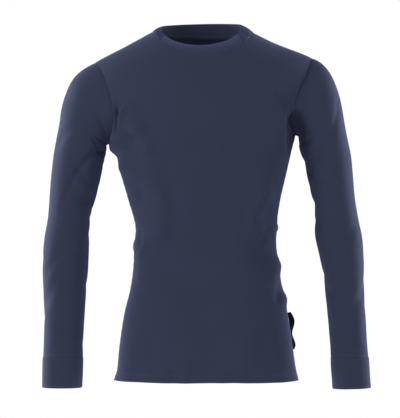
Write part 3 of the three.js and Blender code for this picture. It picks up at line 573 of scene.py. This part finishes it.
# Sleeves
sleeveShape = {
    "squareness": 2.2,
    "capRings": 6,
    "capFadePower": 1.5,
    "wall": 1.2,
    "seamGap": 0.3,
    "seamDip": 0.3,
    "seamReach": 1.6,
    "ringStep": 3.2,
    "edgeRings": (0.8, 2),  # finer rings just below the armhole
    "foldPower": 4,         # how squarely a fold runs out round the sleeve
    "uneven": (60, 0.5),
    "seed": 7.7,
    "endFade": 0.03,        # share over which folds fade at both ends
}
ringColumns = "outerX outerZ innerX innerZ depth forward"
sleeveRings = {
    "right": rowsOf(ringColumns, [
        (-229, -82, -190, -238, 60, 0), (-243, -91.5, -190.4, -240.5, 60, 0),
        (-255, -103, -190.7, -243.5, 60, 0), (-263.5, -116, -190.6, -247, 60, 0),
        (-270.5, -132, -191.2, -251, 59, 0), (-277, -150, -192.2, -256, 58, 0),
        (-282, -171, -193.6, -262, 57, 0), (-285.5, -197, -195.8, -271, 56, 0),
        (-291.5, -228, -198.6, -284, 54, 0), (-297.5, -262, -202.5, -303, 52, 0),
        (-301.4, -300, -207.9, -328, 50, 1), (-304.3, -342, -215.9, -357, 48, 2),
        (-307.7, -385, -221.4, -388, 46, 4), (-314.5, -424, -224, -424, 45, 7),
        (-317.4, -460, -225.9, -460, 44, 10), (-317.2, -500, -227.7, -500, 42, 13),
        (-315, -545, -231.5, -545, 40, 16), (-314.2, -590, -234.5, -590, 37, 19),
        (-314.6, -632, -236.7, -632, 34, 22), (-315.8, -660.7, -236.6, -660.7, 32, 24),
    ]),
    "left": rowsOf(ringColumns, [
        (231, -69.5, 191.8, -220.6, 60, 0), (242, -77.5, 192.6, -224, 60, 0),
        (252, -89, 193.2, -227.5, 60, 0), (260.5, -103, 193.5, -232, 60, 0),
        (267.5, -119, 193.8, -237, 59, 0), (274, -138, 194.2, -243, 58, 0),
        (279.5, -161, 195.8, -250, 57, 0), (284.5, -191, 199.5, -260, 56, 0),
        (290.5, -224, 205.5, -273, 54, 0), (297.5, -259, 208.6, -292, 52, 0),
        (301.2, -297, 213.1, -316, 50, 1), (305.3, -341, 220.7, -351, 48, 2),
        (311.7, -383, 223.4, -386, 46, 4), (319.6, -422, 226.1, -422, 45, 7),
        (322.4, -460, 234.2, -460, 44, 10), (323.3, -500, 242.2, -500, 42, 13),
        (324, -545, 246.8, -545, 40, 16), (326, -590, 251, -590, 37, 19),
        (328, -632, 254.4, -632, 34, 22), (330.6, -660.7, 256.1, -660.7, 32, 24),
    ]),
}
# turn is in degrees from the underarm over the front, share runs from the cap to the cuff.
foldColumns = "turn share slant spread width depth"
sleeveFolds = {
    "right": rowsOf(foldColumns, [
        (62, 0.411, 0.16, 44, 0.03, 4), (24, 0.6, -0.05, 62, 0.026, 3.2),
        (-30, 0.642, 0.07, 60, 0.026, 3), (150, 0.853, 0.06, 50, 0.022, 2.2),
        (34, 0.147, 0.1, 34, 0.02, 3.4), (48, 0.05, 0.03, 34, 0.022, 2.6),
        (18, 0.263, 0.12, 40, 0.022, 3), (36, 0.325, -0.072, 34, 0.013, 3.2),
        (60, 0.505, -0.04, 40, 0.016, 2.4), (24, 0.547, 0.05, 44, 0.014, 1.4),
        (-60, 0.453, -0.1, 50, 0.02, 3), (-34, 0.558, 0.06, 44, 0.017, 2.2),
        (-96, 0.705, -0.05, 46, 0.02, 2.4), (-150, 0.789, 0.05, 44, 0.018, 2),
        (96, 0.726, 0.05, 44, 0.018, 2), (20, 0.789, -0.04, 50, 0.016, 2.2),
        (-70, 0.895, 0.04, 56, 0.014, 1.8), (60, 0.926, -0.03, 60, 0.012, 1.6),
        (-48, 0.158, -0.12, 40, 0.022, 3.2), (112, 0.33, 0.12, 40, 0.03, 1.8),
    ]),
    "left": rowsOf(foldColumns, [
        (62, 0.442, -0.08, 44, 0.03, 4.2), (20, 0.621, 0.06, 62, 0.028, 3.4),
        (-34, 0.663, -0.06, 60, 0.026, 3), (140, 0.832, -0.05, 52, 0.022, 2.2),
        (30, 0.126, 0.12, 34, 0.018, 2), (16, 0.232, 0.1, 40, 0.02, 3.2),
        (40, 0.345, -0.06, 36, 0.014, 2.6), (56, 0.526, 0.05, 42, 0.018, 2.6),
        (22, 0.568, -0.04, 44, 0.015, 1.2), (-56, 0.474, 0.1, 50, 0.02, 3),
        (-36, 0.579, -0.06, 44, 0.018, 2.2), (-100, 0.726, 0.05, 46, 0.02, 2.4),
        (-150, 0.811, -0.05, 44, 0.018, 2), (92, 0.705, -0.05, 42, 0.018, 2.2),
        (24, 0.811, 0.04, 50, 0.016, 2.4), (-66, 0.905, -0.04, 56, 0.014, 1.8),
        (70, 0.937, 0.03, 60, 0.012, 1.5), (-50, 0.147, 0.12, 40, 0.022, 3.2),
        (118, 0.36, -0.12, 42, 0.03, 1.8),
    ]),
}


# The armhole's seam as a ring: armpit, front, shoulder tip, back
def armholeRing(end):
    column = 0 if end < 0 else -1
    parts = []
    for side in (-1, 1):
        grid = panels[side]
        rows = slice(grid["armholeStart"], None)
        edge = "left" if end < 0 else "right"
        inside = insetLines(grid, edge, (allowanceShape["width"],), rows=rows)[0]
        line = [grid[name][rows, column] for name in ("points", "normals")]
        parts.append([*line, underPanel(*inside)])
    points, normals, under = [
        np.concatenate([parts[0][which], parts[1][which][-2:0:-1]]) for which in range(3)
    ]
    points = points.copy()
    tip = len(parts[0][0]) - 1
    for line in (points, under):
        line[[0, tip], 1] = 0
    tangent = unit(np.roll(points, -1, axis=0) - np.roll(points, 1, axis=0))
    away = unit(end * np.cross(tangent, normals))
    seam = points + away * sleeveShape["seamGap"]
    return seam, tip, np.stack([under, underPanel(seam, normals)])


def ringAngles(points, tip):
    steps = np.linalg.norm(np.roll(points, -1, axis=0) - points, axis=1)
    lengths = np.concatenate([[0], np.cumsum(steps)])
    over = math.pi * lengths[: tip + 1] / lengths[tip]
    under = -math.pi * (lengths[-1] - lengths[tip + 1 : -1]) / (lengths[-1] - lengths[tip])
    return np.concatenate([over, under])


def ringAxes(row):
    inner = np.array([row["innerX"], 0 * row["innerX"], row["innerZ"]]).T
    outer = np.array([row["outerX"], 0 * row["outerX"], row["outerZ"]]).T
    half = np.linalg.norm(outer - inner, axis=-1) / 2
    along = unit(outer - inner)
    return (inner + outer) / 2, half, along, np.cross((0, 1, 0), along)


def ringPoints(rows, angles):
    middle, half, along, through = ringAxes(rows)
    squareAlong, squareAcross = roundedSquare(angles, sleeveShape["squareness"])
    points = middle[:, None] - (half[:, None] * squareAlong)[..., None] * along[:, None]
    points[..., 1] = -rows["depth"][:, None] * squareAcross - rows["forward"][:, None]
    return points, along, through


def tableAt(table, numbers, keys):
    return {name: lineThrough(keys, column)(numbers) for name, column in table.items()}


def sleeveGrid(which, end):
    seam, tip, allowance = armholeRing(end)
    angles = ringAngles(seam, tip)
    table = sleeveRings[which]
    seamRow = {"outerX": seam[tip, 0], "outerZ": seam[tip, 2], "innerX": seam[0, 0],
               "innerZ": seam[0, 2], "depth": table["depth"][0], "forward": 0}
    full = {name: np.concatenate([[seamRow[name]], column]) for name, column in table.items()}
    keys = np.arange(-1, len(table["depth"]))
    middle = ringAxes(full)[0]
    spacing = lengthsAlong(middle, 0)
    count = int(spacing[-1] / sleeveShape["ringStep"])
    lengths = np.linspace(0, spacing[-1], count)
    lengths = np.insert(lengths, 1, sleeveShape["edgeRings"])
    numbers = np.interp(lengths, spacing, keys)
    base, along, through = ringPoints(tableAt(full, numbers, keys), angles)
    first, firstAlong, firstThrough = base[0], along[0], through[0]
    rest = seam - first
    fade = (1 - np.minimum((numbers + 1) / sleeveShape["capRings"], 1)) ** sleeveShape["capFadePower"]
    fade = fade[:, None, None]
    points = base + along[:, None] * (rest @ firstAlong)[None, :, None] * fade
    points += through[:, None] * (rest @ firstThrough)[None, :, None] * fade
    points[..., 1] += rest[None, :, 1] * fade[..., 0]
    share = np.clip(numbers / (len(table["depth"]) - 1), 0, 1)[:, None]
    ends = 1 - bell((1 - share) / sleeveShape["endFade"])
    ends = ends * (1 - bell(share / sleeveShape["endFade"]))
    depth = 0
    for turn, place, slant, spread, width, deep in zip(*sleeveFolds[which].values()):
        away = (np.mod(np.degrees(angles) - turn + 180, 360) - 180) / spread
        drop = (share - place - slant * away[None, :]) / width
        depth = depth + deep * np.exp(-(drop**2) - away[None, :] ** sleeveShape["foldPower"])
    normals = gridNormals(points, True)
    size, height = sleeveShape["uneven"]
    push = (unevenness(points, size, height, sleeveShape["seed"] * end) - depth) * ends
    down = lengthsAlong(points, 0)
    push -= sleeveShape["seamDip"] * bell(down / sleeveShape["seamReach"])
    points = points + normals * push[..., None]
    near = np.minimum(down, down[-1:] - down)
    return {"points": points, "normals": gridNormals(points, True), "seams": near,
            "angles": angles, "allowance": allowance}


# A tube's sheet with its seam allowance
def makeTube(name, grid, wall, **rim):
    allowance = grid["allowance"]
    points = np.concatenate([allowance, grid["points"]])
    seams = np.concatenate([np.zeros(allowance.shape[:2]), grid["seams"]])
    return makeSheet(name, points, seams, wall, isTube=True, **rim)


sleeves = {"right": sleeveGrid("right", -1), "left": sleeveGrid("left", 1)}
sleevePieces = {
    which: makeTube("sleeve_cloth_" + which, grid, sleeveShape["wall"])
    for which, grid in sleeves.items()
}
print("sleeves made")

# Cuffs
cuffShape = {
    "wall": 2.2, "proud": 0.5, "rowHeight": 2.6, "edge": 0.9, "edgeSegments": 3,
    "wave": (0.35, 9, 4, 1.3),  # height, two counts round the cuff and a shift in radians
}
cuffRings = {
    "right": rowsOf(ringColumns, [
        (-316.4, -661, -236.4, -661, 32, 24), (-316.8, -681, -236.7, -681, 31.5, 25),
        (-317, -701, -237.4, -701, 31, 26), (-317.2, -720, -238.4, -720, 31, 27),
    ]),
    "left": rowsOf(ringColumns, [
        (331.4, -661, 255.9, -661, 32, 24), (332.6, -682, 256.6, -682, 31.5, 25),
        (333.7, -702, 258.3, -703, 31, 26), (335.2, -720.5, 259.4, -722.5, 31, 27),
    ]),
}


def cuffGrid(which):
    table = cuffRings[which]
    height = table["outerZ"][0] - table["outerZ"][-1]
    last = len(table["depth"]) - 1
    numbers = np.linspace(0, last, int(height / cuffShape["rowHeight"]))
    rows = tableAt(table, numbers, np.arange(last + 1))
    angles = sleeves[which]["angles"]
    points = ringPoints(rows, angles)[0]
    normals = gridNormals(points, True)
    swell, many, few, shift = cuffShape["wave"]
    ripple = np.sin(many * angles + shift) * np.sin(few * angles)
    fall = np.sin(math.pi * numbers / last)[:, None]
    push = cuffShape["proud"] + swell * ripple[None, :] * fall
    points = points + normals * push[..., None]
    down = lengthsAlong(points, 0)
    return {"points": points, "normals": normals, "seams": np.minimum(down, down[-1:] - down)}


cuffs = {which: cuffGrid(which) for which in ("right", "left")}
cuffPieces = {
    which: makeSheet(
        "cuff_band_" + which, grid["points"], grid["seams"], cuffShape["wall"],
        isTube=True, edge=cuffShape["edge"], edgeSegments=cuffShape["edgeSegments"],
    )
    for which, grid in cuffs.items()
}
print("cuffs made")

# Neckband
bandShape = {
    "middle": -1.5, "half": 80.2, "depth": {-1: 62, 1: 64}, "drop": {-1: 43.5, 1: 9.5},
    "tilt": 1.8, "rows": 10, "bulge": 1.6, "proud": 0.5, "wall": 2.2, "gap": 0.3, "edge": 0.8,
    "edgeSegments": 3,
}


def bandGrid():
    parts = []
    for side in (-1, 1):
        grid = panels[side]
        chosen = np.flatnonzero(grid["isNeck"])
        inside = insetLines(grid, "top", (allowanceShape["width"],), columns=chosen)[0]
        line = [grid["points"][-1, chosen], grid["normals"][-1, chosen], underPanel(*inside)]
        angle = math.pi + side * grid["neckAngles"]
        line.append(np.repeat(angle[:, None], 3, axis=1))
        line = line if side < 0 else [each[::-1] for each in line]
        parts.append([each[:-1] for each in line])
    seam, normals, under, angle = [
        np.concatenate([parts[0][which], parts[1][which]]) for which in range(4)
    ]
    seam, angle = seam.copy(), angle[:, 0]
    half = len(parts[0][0])
    for line in (seam, under):
        line[[0, half], 1] = 0
    seam += normals * torsoShape["seamDip"]
    isFront = np.arange(len(seam)) < half
    depth = np.where(isFront, bandShape["depth"][-1], bandShape["depth"][1])
    drop = np.where(isFront, bandShape["drop"][-1], bandShape["drop"][1])
    edge = np.stack([
        bandShape["middle"] - bandShape["half"] * np.cos(angle),
        -np.sin(angle) * depth,
        -np.sin(angle) * drop - bandShape["tilt"] * np.cos(angle),
    ], axis=-1)
    start = seam + unit(edge - seam) * bandShape["gap"]
    share = np.linspace(0, 1, bandShape["rows"] + 1)[:, None, None]
    bulge = bandShape["bulge"] * np.sin(math.pi * share)
    points = start * (1 - share) + edge * share + normals * (bulge + bandShape["proud"])
    up = lengthsAlong(points, 0)
    return {"points": points, "normals": gridNormals(points, True),
            "seams": np.minimum(up, up[-1:] - up),
            "allowance": np.stack([under, underPanel(start, normals)])}


band = bandGrid()
neckband = makeTube("neck_band", band, bandShape["wall"], edge=bandShape["edge"],
                    edgeSegments=bandShape["edgeSegments"])
print("neckband made")

# Side label: a folded tape in the wearer's left side seam, left bare
labelShape = {
    "top": -573, "bottom": -647, "width": 13, "thick": 1.5, "rows": 60, "columns": 8, "edge": 0.5,
    "root": 0.55,          # how far outside the seam it starts
    "curl": (0.9, 2.6, 9),  # height, turn across the tape and length along it, in radians
}
labelSwings = rowsOf("z swing", [(-647, 82), (-638, 66), (-616, 80), (-590, 34), (-573, 62)])


def labelGrid():
    z = np.linspace(labelShape["bottom"], labelShape["top"], labelShape["rows"] + 1)
    swing = np.radians(lineThrough(labelSwings["z"], labelSwings["swing"])(z))
    seam = torsoPoint(-1, np.full_like(z, quarterTurn), z - chestRow["z"])
    start = seam[:, 0] + labelShape["root"]
    share = np.linspace(0, 1, labelShape["columns"] + 1)
    out = np.stack([np.cos(swing), np.sin(swing), 0 * z], axis=-1)
    across = np.stack([-np.sin(swing), np.cos(swing), 0 * z], axis=-1)
    points = np.stack([start, 0 * z, seam[:, 2]], axis=-1)[:, None]
    points = points + out[:, None] * (labelShape["width"] * share)[None, :, None]
    height, turn, length = labelShape["curl"]
    curl = height * np.sin(turn * share)[None, :] * np.sin(z / length)[:, None]
    curl = curl * share[None, :] + labelShape["thick"] / 2
    return points + across[:, None] * curl[..., None]


labelPoints = labelGrid()
label = makeSheet("bare_side_label", labelPoints, distanceToEdges(labelPoints, ("left", "right")),
                  labelShape["thick"], edge=labelShape["edge"])
print("label made")

# Stitching: one stitch is modelled, then copied along lines that run beside the seams.
stitchShape = {
    "segments": 8, "rings": 5, "length": 2.3, "width": 0.62, "height": 0.42, "pitch": 3.1,
    "sunk": 0.1,
    "reach": 0.8,  # how far each way a line's direction is taken
}
# How far the lines of stitches lie from their seam or edge
stitchLines = {
    "hem": (3.2, 0.4),  # below the top of the turned hem
    "neck": (3,), "shoulder": (2.4,), "armhole": (2.6,), "band": (2.6,),
    "sleeve": (2.2, 6.4), "cuff": (4.6,),
    "armholeRows": 3,   # rows of the panel left free above the armpit
}


def modelStitch():
    bpy.ops.mesh.primitive_uv_sphere_add(
        segments=stitchShape["segments"], ring_count=stitchShape["rings"], radius=0.5,
        rotation=(0, quarterTurn, 0),
    )
    stitch = bpy.context.active_object
    bpy.ops.object.transform_apply(location=True, rotation=True, scale=True)
    mesh = stitch.data
    points = np.array([vertex.co for vertex in mesh.vertices])
    faces = [list(polygon.vertices) for polygon in mesh.polygons]
    bpy.data.objects.remove(stitch)
    size = (stitchShape["length"], stitchShape["width"], stitchShape["height"])
    return points * size, faces


stitchPoints, stitchFaces = modelStitch()


def stitchesAlong(line, normals, isRing):
    if isRing:
        line, normals = [np.concatenate([each, each[:1]]) for each in (line, normals)]
    lengths = lengthsAlong(line, 0)
    count = max(int(lengths[-1] / stitchShape["pitch"]), 1)
    places = (np.arange(count) + 0.5) * lengths[-1] / count

    def at(where, values):
        return np.stack([np.interp(where, lengths, values[:, axis]) for axis in range(3)], 1)

    middle, normal = at(places, line), unit(at(places, normals))
    reach = stitchShape["reach"]
    tangent = unit(at(places + reach, line) - at(places - reach, line))
    side = unit(np.cross(normal, tangent))
    middle = middle + normal * (stitchShape["height"] / 2 - stitchShape["sunk"])
    axes = np.stack([tangent, side, np.cross(tangent, side)], axis=1)
    return middle[:, None] + np.einsum("pk,nkc->npc", stitchPoints, axes)


def makeStitching(name, lines):
    groups = [stitchesAlong(*line).reshape(-1, 3) for line in lines]
    points = np.concatenate(groups)
    size = len(stitchPoints)
    faces = [
        [corner + start for corner in face]
        for start in range(0, len(points), size)
        for face in stitchFaces
    ]
    mesh = bpy.data.meshes.new(name)
    mesh.from_pydata((points * mm).tolist(), [], faces)
    mesh.update()
    stitches = addObject(name, mesh)
    selectOnly(stitches)
    bpy.ops.object.mode_set(mode="EDIT")
    bpy.ops.mesh.select_all(action="SELECT")
    bpy.ops.mesh.normals_make_consistent(inside=False)
    bpy.ops.object.mode_set(mode="OBJECT")
    bpy.ops.object.shade_smooth()
    bpy.ops.object.select_all(action="DESELECT")
    return stitches


def panelLines(side):
    grid = panels[side]
    isNeck = grid["isNeck"]
    first, last = np.flatnonzero(isNeck)[[0, -1]]
    armholeRows = slice(grid["armholeStart"] + stitchLines["armholeRows"], None)
    lines = insetLines(grid, "bottom", [torsoShape["hem"] - below for below in stitchLines["hem"]])
    lines += insetLines(grid, "top", stitchLines["neck"], columns=slice(first, last + 1))
    for columns in (slice(0, first), slice(last + 1, None)):
        lines += insetLines(grid, "top", stitchLines["shoulder"], columns=columns)
    for edge in ("left", "right"):
        lines += insetLines(grid, edge, stitchLines["armhole"], rows=armholeRows)
    return [(points, normals, False) for points, normals in lines]


def ringLines(grid, edge, distances):
    return [(points, normals, True) for points, normals in insetLines(grid, edge, distances)]


sewn = {
    "front_stitching": panelLines(-1),
    "back_stitching": panelLines(1),
    "neck_stitching": ringLines(band, "bottom", stitchLines["band"]),
}
for which in ("right", "left"):
    sewn["sleeve_stitching_" + which] = ringLines(sleeves[which], "top", stitchLines["sleeve"])
    sewn["cuff_stitching_" + which] = ringLines(cuffs[which], "top", stitchLines["cuff"])
stitching = [makeStitching(name, lines) for name, lines in sewn.items()]
print("stitching made")


# Node groups and materials
def newGroup(name, inputs, outputs):
    group = bpy.data.node_groups.new(name, "ShaderNodeTree")
    for socketName, kind, value in inputs:
        socket = group.interface.new_socket(socketName, in_out="INPUT", socket_type=kind)
        if value is not None:
            socket.default_value = value
    for socketName, kind in outputs:
        group.interface.new_socket(socketName, in_out="OUTPUT", socket_type=kind)
    start, end = group.nodes.new("NodeGroupInput"), group.nodes.new("NodeGroupOutput")
    return group, start.outputs, end.inputs


# Fills a node's inputs: a socket is linked to them, any other value is set.
def fillInputs(tree, node, values):
    for name, value in values.items():
        if hasattr(value, "is_output"):
            tree.links.new(value, node.inputs[name])
        else:
            node.inputs[name].default_value = value


def addNode(tree, kind, values=None, **settings):
    node = tree.nodes.new("ShaderNode" + kind)
    for name, value in settings.items():
        setattr(node, name, value)
    fillInputs(tree, node, values or {})
    return node


def mathNode(tree, operation, *values):
    return addNode(tree, "Math", dict(enumerate(values)), operation=operation).outputs[0]


def rangeNode(tree, value, fromRange=(0, 1), toRange=(0, 1)):
    return addNode(tree, "MapRange", {
        "Value": value, "From Min": fromRange[0], "From Max": fromRange[1],
        "To Min": toRange[0], "To Max": toRange[1],
    })


# Fine rib-like jersey: v-shaped loops in columns. Column and Course are in metres of cloth.
def knitGroup():
    group, given, made = newGroup(
        "fineKnit",
        [("Vector", "NodeSocketVector", None), ("Column", "NodeSocketFloat", 0.0012),
         ("Course", "NodeSocketFloat", 0.0010)],
        [("Height", "NodeSocketFloat"), ("Shade", "NodeSocketFloat")],
    )
    split = addNode(group, "SeparateXYZ", {0: given["Vector"]})
    column = mathNode(group, "DIVIDE", split.outputs[0], given["Column"])
    course = mathNode(group, "DIVIDE", split.outputs[1], given["Course"])
    inColumn = mathNode(group, "FRACT", column)
    fromMiddle = mathNode(group, "ABSOLUTE", mathNode(group, "SUBTRACT", inColumn, 0.5))
    loop = mathNode(group, "FRACT", mathNode(group, "ADD", course, fromMiddle))
    loopHeight = mathNode(group, "SINE", mathNode(group, "MULTIPLY", loop, math.pi))
    legs = mathNode(group, "SINE", mathNode(group, "MULTIPLY", fromMiddle, 2 * math.pi))
    height = mathNode(group, "MULTIPLY", loopHeight, legs)
    group.links.new(height, made["Height"])
    # Shade feeds painted shade: 0 in the hollows between the loops, up to 1 on their tops
    group.links.new(mathNode(group, "POWER", mathNode(group, "ABSOLUTE", height), 0.6), made["Shade"])
    return group


# Colour of the cloth: the dye's slow unevenness and fibre fleck, painted knit shade, paler seams
clothTone = {
    "slow": (9, 3, 0.7),  # scale, detail and share of each noise
    "fleck": (900, 2, 0.3),
    "spread": (0.3, 0.7),
    # painted shade of the knit: colour scale from the hollows between the loops to the loop tops
    "knitShade": (0.86, 1.04),
    "roughness": (0.82, 0.94),
}


def clothColourGroup():
    group, given, made = newGroup(
        "clothColour",
        [("Vector", "NodeSocketVector", None), ("Light", "NodeSocketColor", (0.05, 0.06, 0.1, 1)),
         ("Dark", "NodeSocketColor", (0.04, 0.05, 0.09, 1)), ("Knit", "NodeSocketFloat", 0.5),
         ("Near seam", "NodeSocketFloat", 0.0), ("Seam fade", "NodeSocketFloat", 0.12)],
        [("Color", "NodeSocketColor"), ("Roughness", "NodeSocketFloat")],
    )
    parts = []
    for scale, detail, part in (clothTone["slow"], clothTone["fleck"]):
        values = {"Vector": given["Vector"], "Scale": scale, "Detail": detail}
        fibre = addNode(group, "TexNoise", values)
        parts.append(mathNode(group, "MULTIPLY", fibre.outputs[0], part))
    mixed = mathNode(group, "ADD", *parts)
    ramp = rangeNode(group, mixed, fromRange=clothTone["spread"])
    shades = {"Factor": ramp.outputs[0], "A": given["Dark"], "B": given["Light"]}
    tone = addNode(group, "Mix", shades, data_type="RGBA")
    # Painted shade: the knit darkens the colour between the loops and lightens the loop tops a little
    knitShade = rangeNode(group, given["Knit"], toRange=clothTone["knitShade"])
    worn = mathNode(group, "MULTIPLY", given["Near seam"], given["Seam fade"])
    lit = mathNode(group, "ADD", knitShade.outputs[0], worn)
    scaled = addNode(group, "VectorMath", {0: tone.outputs["Result"], "Scale": lit},
                     operation="SCALE")
    group.links.new(scaled.outputs[0], made["Color"])
    rough = rangeNode(group, mixed, toRange=clothTone["roughness"])
    group.links.new(rough.outputs[0], made["Roughness"])
    return group


fineKnit = knitGroup()
clothColour = clothColourGroup()


def newMaterial(name, shown):
    material = bpy.data.materials.new(name)
    material.use_nodes = True
    material.diffuse_color = shown
    tree = material.node_tree
    return material, tree, tree.nodes["Principled BSDF"]


clothFinish = {
    "body": {"light": (0.0335, 0.0415, 0.077, 1), "dark": (0.029, 0.036, 0.067, 1),
             "column": 0.0012, "course": 0.001, "bump": 0.00022, "sheen": 0.3},
    "band": {"light": (0.035, 0.042, 0.076, 1), "dark": (0.03, 0.0365, 0.067, 1),
             "column": 0.002, "course": 0.001, "bump": 0.0003, "sheen": 0.3},
}
sheenTint = (0.44, 0.48, 1.0, 1)


def knitMaterial(name, finish):
    material, tree, shader = newMaterial(name, finish["light"])
    uv = addNode(tree, "UVMap", uv_map="cloth")
    place = addNode(tree, "TexCoord")
    seam = addNode(tree, "Attribute", attribute_name="nearSeam")
    knit = addNode(tree, "Group", node_tree=fineKnit, values={
        "Vector": uv.outputs[0], "Column": finish["column"], "Course": finish["course"],
    })
    colour = addNode(tree, "Group", node_tree=clothColour, values={
        "Vector": place.outputs["Object"], "Light": finish["light"], "Dark": finish["dark"],
        "Knit": knit.outputs["Shade"], "Near seam": seam.outputs["Fac"], "Seam fade": 0.1,
    })
    bump = addNode(tree, "Bump", {
        "Strength": 0.7, "Distance": finish["bump"], "Height": knit.outputs["Height"],
    })
    fillInputs(tree, shader, {
        "Base Color": colour.outputs["Color"], "Roughness": colour.outputs["Roughness"],
        "Normal": bump.outputs[0], "Specular IOR Level": 0.14, "Sheen Weight": finish["sheen"],
        "Sheen Roughness": 0.45, "Sheen Tint": sheenTint,
    })
    return material


def threadMaterial():
    material, tree, shader = newMaterial("navy_thread", (0.06, 0.07, 0.11, 1))
    place = addNode(tree, "TexCoord")
    twist = addNode(tree, "TexWave", {
        "Scale": 900, "Distortion": 2, "Vector": place.outputs["Object"],
    })
    mix = addNode(tree, "Mix", data_type="RGBA", values={
        "A": (0.022, 0.028, 0.054, 1), "B": (0.036, 0.044, 0.08, 1), "Factor": twist.outputs["Fac"],
    })
    fillInputs(tree, shader, {
        "Base Color": mix.outputs["Result"], "Roughness": 0.55, "Sheen Weight": 0.15,
    })
    return material


def labelMaterial():
    material, tree, shader = newMaterial("black_tape", (0.004, 0.004, 0.006, 1))
    uv = addNode(tree, "UVMap", uv_map="cloth")
    weave = addNode(tree, "TexBrick", {
        "Vector": uv.outputs[0], "Scale": 1, "Brick Width": 0.0007, "Row Height": 0.00035,
        "Mortar Size": 0.00008, "Color1": (0.0045, 0.0045, 0.0062, 1),
        "Color2": (0.0065, 0.0062, 0.0082, 1), "Mortar": (0.0015, 0.0015, 0.002, 1),
    })
    bump = addNode(tree, "Bump", invert=True, values={
        "Strength": 0.5, "Distance": 0.0001, "Height": weave.outputs["Fac"],
    })
    fillInputs(tree, shader, {
        "Base Color": weave.outputs["Color"], "Normal": bump.outputs[0], "Roughness": 0.95,
        "Specular IOR Level": 0.02,
    })
    return material


bodyKnit = knitMaterial("navy_jersey", clothFinish["body"])
bandKnit = knitMaterial("navy_rib", clothFinish["band"])
thread = threadMaterial()
tape = labelMaterial()


def finishPiece(piece, material, nodes=()):
    piece.data.materials.clear()
    piece.data.materials.append(material)
    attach(piece, body)
    if nodes:
        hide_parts(*nodes)


finishPiece(front, bodyKnit, ["front"])
finishPiece(back, bodyKnit, ["back"])
finishPiece(neckband, bandKnit, ["neckband"])
finishPiece(label, tape, ["side_label"])
for which in ("right", "left"):
    finishPiece(sleevePieces[which], bodyKnit, ["sleeve_" + which])
    finishPiece(cuffPieces[which], bandKnit, ["cuff_" + which])
for each in stitching:
    finishPiece(each, thread)
print("materials made")

# Floor, white surround and studio lights
studio = {
    "floorHeight": -1.43,  # where the floor lies under a wearer
    "floorCorners": 96,
    "floorRadius": 1.6,
    "floorFade": 0.4,      # radius from which the floor fades out
    "surround": 0.26,      # strength of the white surround as light
    "lights": rowsOf("x y z aimZ width height power", [
        (-3.0, -2.0, 0.5, -0.35, 1.4, 2.0, 86), (3.0, -2.1, 0.2, -0.35, 1.4, 2.0, 52),
        (-0.2, -3.8, 0.7, -0.3, 1.8, 1.8, 19), (-2.2, 0.9, -0.35, -0.4, 0.9, 2.6, 90),
        (2.2, 0.9, -0.35, -0.4, 0.9, 2.6, 82),
    ]),
}


def makeFloor():
    bpy.ops.mesh.primitive_circle_add(
        vertices=studio["floorCorners"], radius=studio["floorRadius"], fill_type="NGON",
        location=(0, 0, studio["floorHeight"]),
    )
    floor = bpy.context.active_object
    floor.name = "pale_floor"
    bpy.ops.object.transform_apply(location=True, rotation=True, scale=True)
    material, tree, shader = newMaterial("pale_floor", (0.9, 0.9, 0.9, 1))
    place = addNode(tree, "TexCoord")
    flat = addNode(tree, "Mapping", {"Vector": place.outputs["Object"], "Scale": (1, 1, 0)})
    length = addNode(tree, "VectorMath", {0: flat.outputs[0]}, operation="LENGTH")
    fadeRange = (studio["floorFade"], studio["floorRadius"])
    fade = rangeNode(tree, length.outputs["Value"], fromRange=fadeRange, toRange=(1, 0))
    fade.interpolation_type = "SMOOTHERSTEP"
    fillInputs(tree, shader, {
        "Alpha": fade.outputs[0], "Base Color": (0.86, 0.86, 0.87, 1), "Roughness": 0.9,
    })
    floor.data.materials.append(material)


def makeSurround():
    world = bpy.data.worlds.new("white_surround")
    bpy.context.scene.world = world
    world.use_nodes = True
    tree = world.node_tree
    tree.nodes.clear()
    path = addNode(tree, "LightPath")
    shown = addNode(tree, "Background", {"Color": (1, 1, 1, 1)})
    lighting = addNode(tree, "Background", {
        "Color": (0.93, 0.95, 1, 1), "Strength": studio["surround"],
    })
    mix = addNode(tree, "MixShader", {
        0: path.outputs["Is Camera Ray"], 1: lighting.outputs[0], 2: shown.outputs[0],
    })
    addNode(tree, "OutputWorld", {0: mix.outputs[0]})


def makeLights():
    for number, (x, y, z, aimZ, width, height, power) in enumerate(zip(*studio["lights"].values())):
        data = bpy.data.lights.new(f"softbox_{number}", "AREA")
        data.shape = "RECTANGLE"
        data.size, data.size_y, data.energy = width, height, power
        light = addObject(f"softbox_{number}", data)
        light.location = (x, y, z)
        aim = Vector((0, 0, aimZ)) - light.location
        light.rotation_euler = aim.to_track_quat("-Z", "Y").to_euler()


makeFloor()
makeSurround()
makeLights()
bpy.context.scene.view_settings.view_transform = "Standard"
print("studio made")
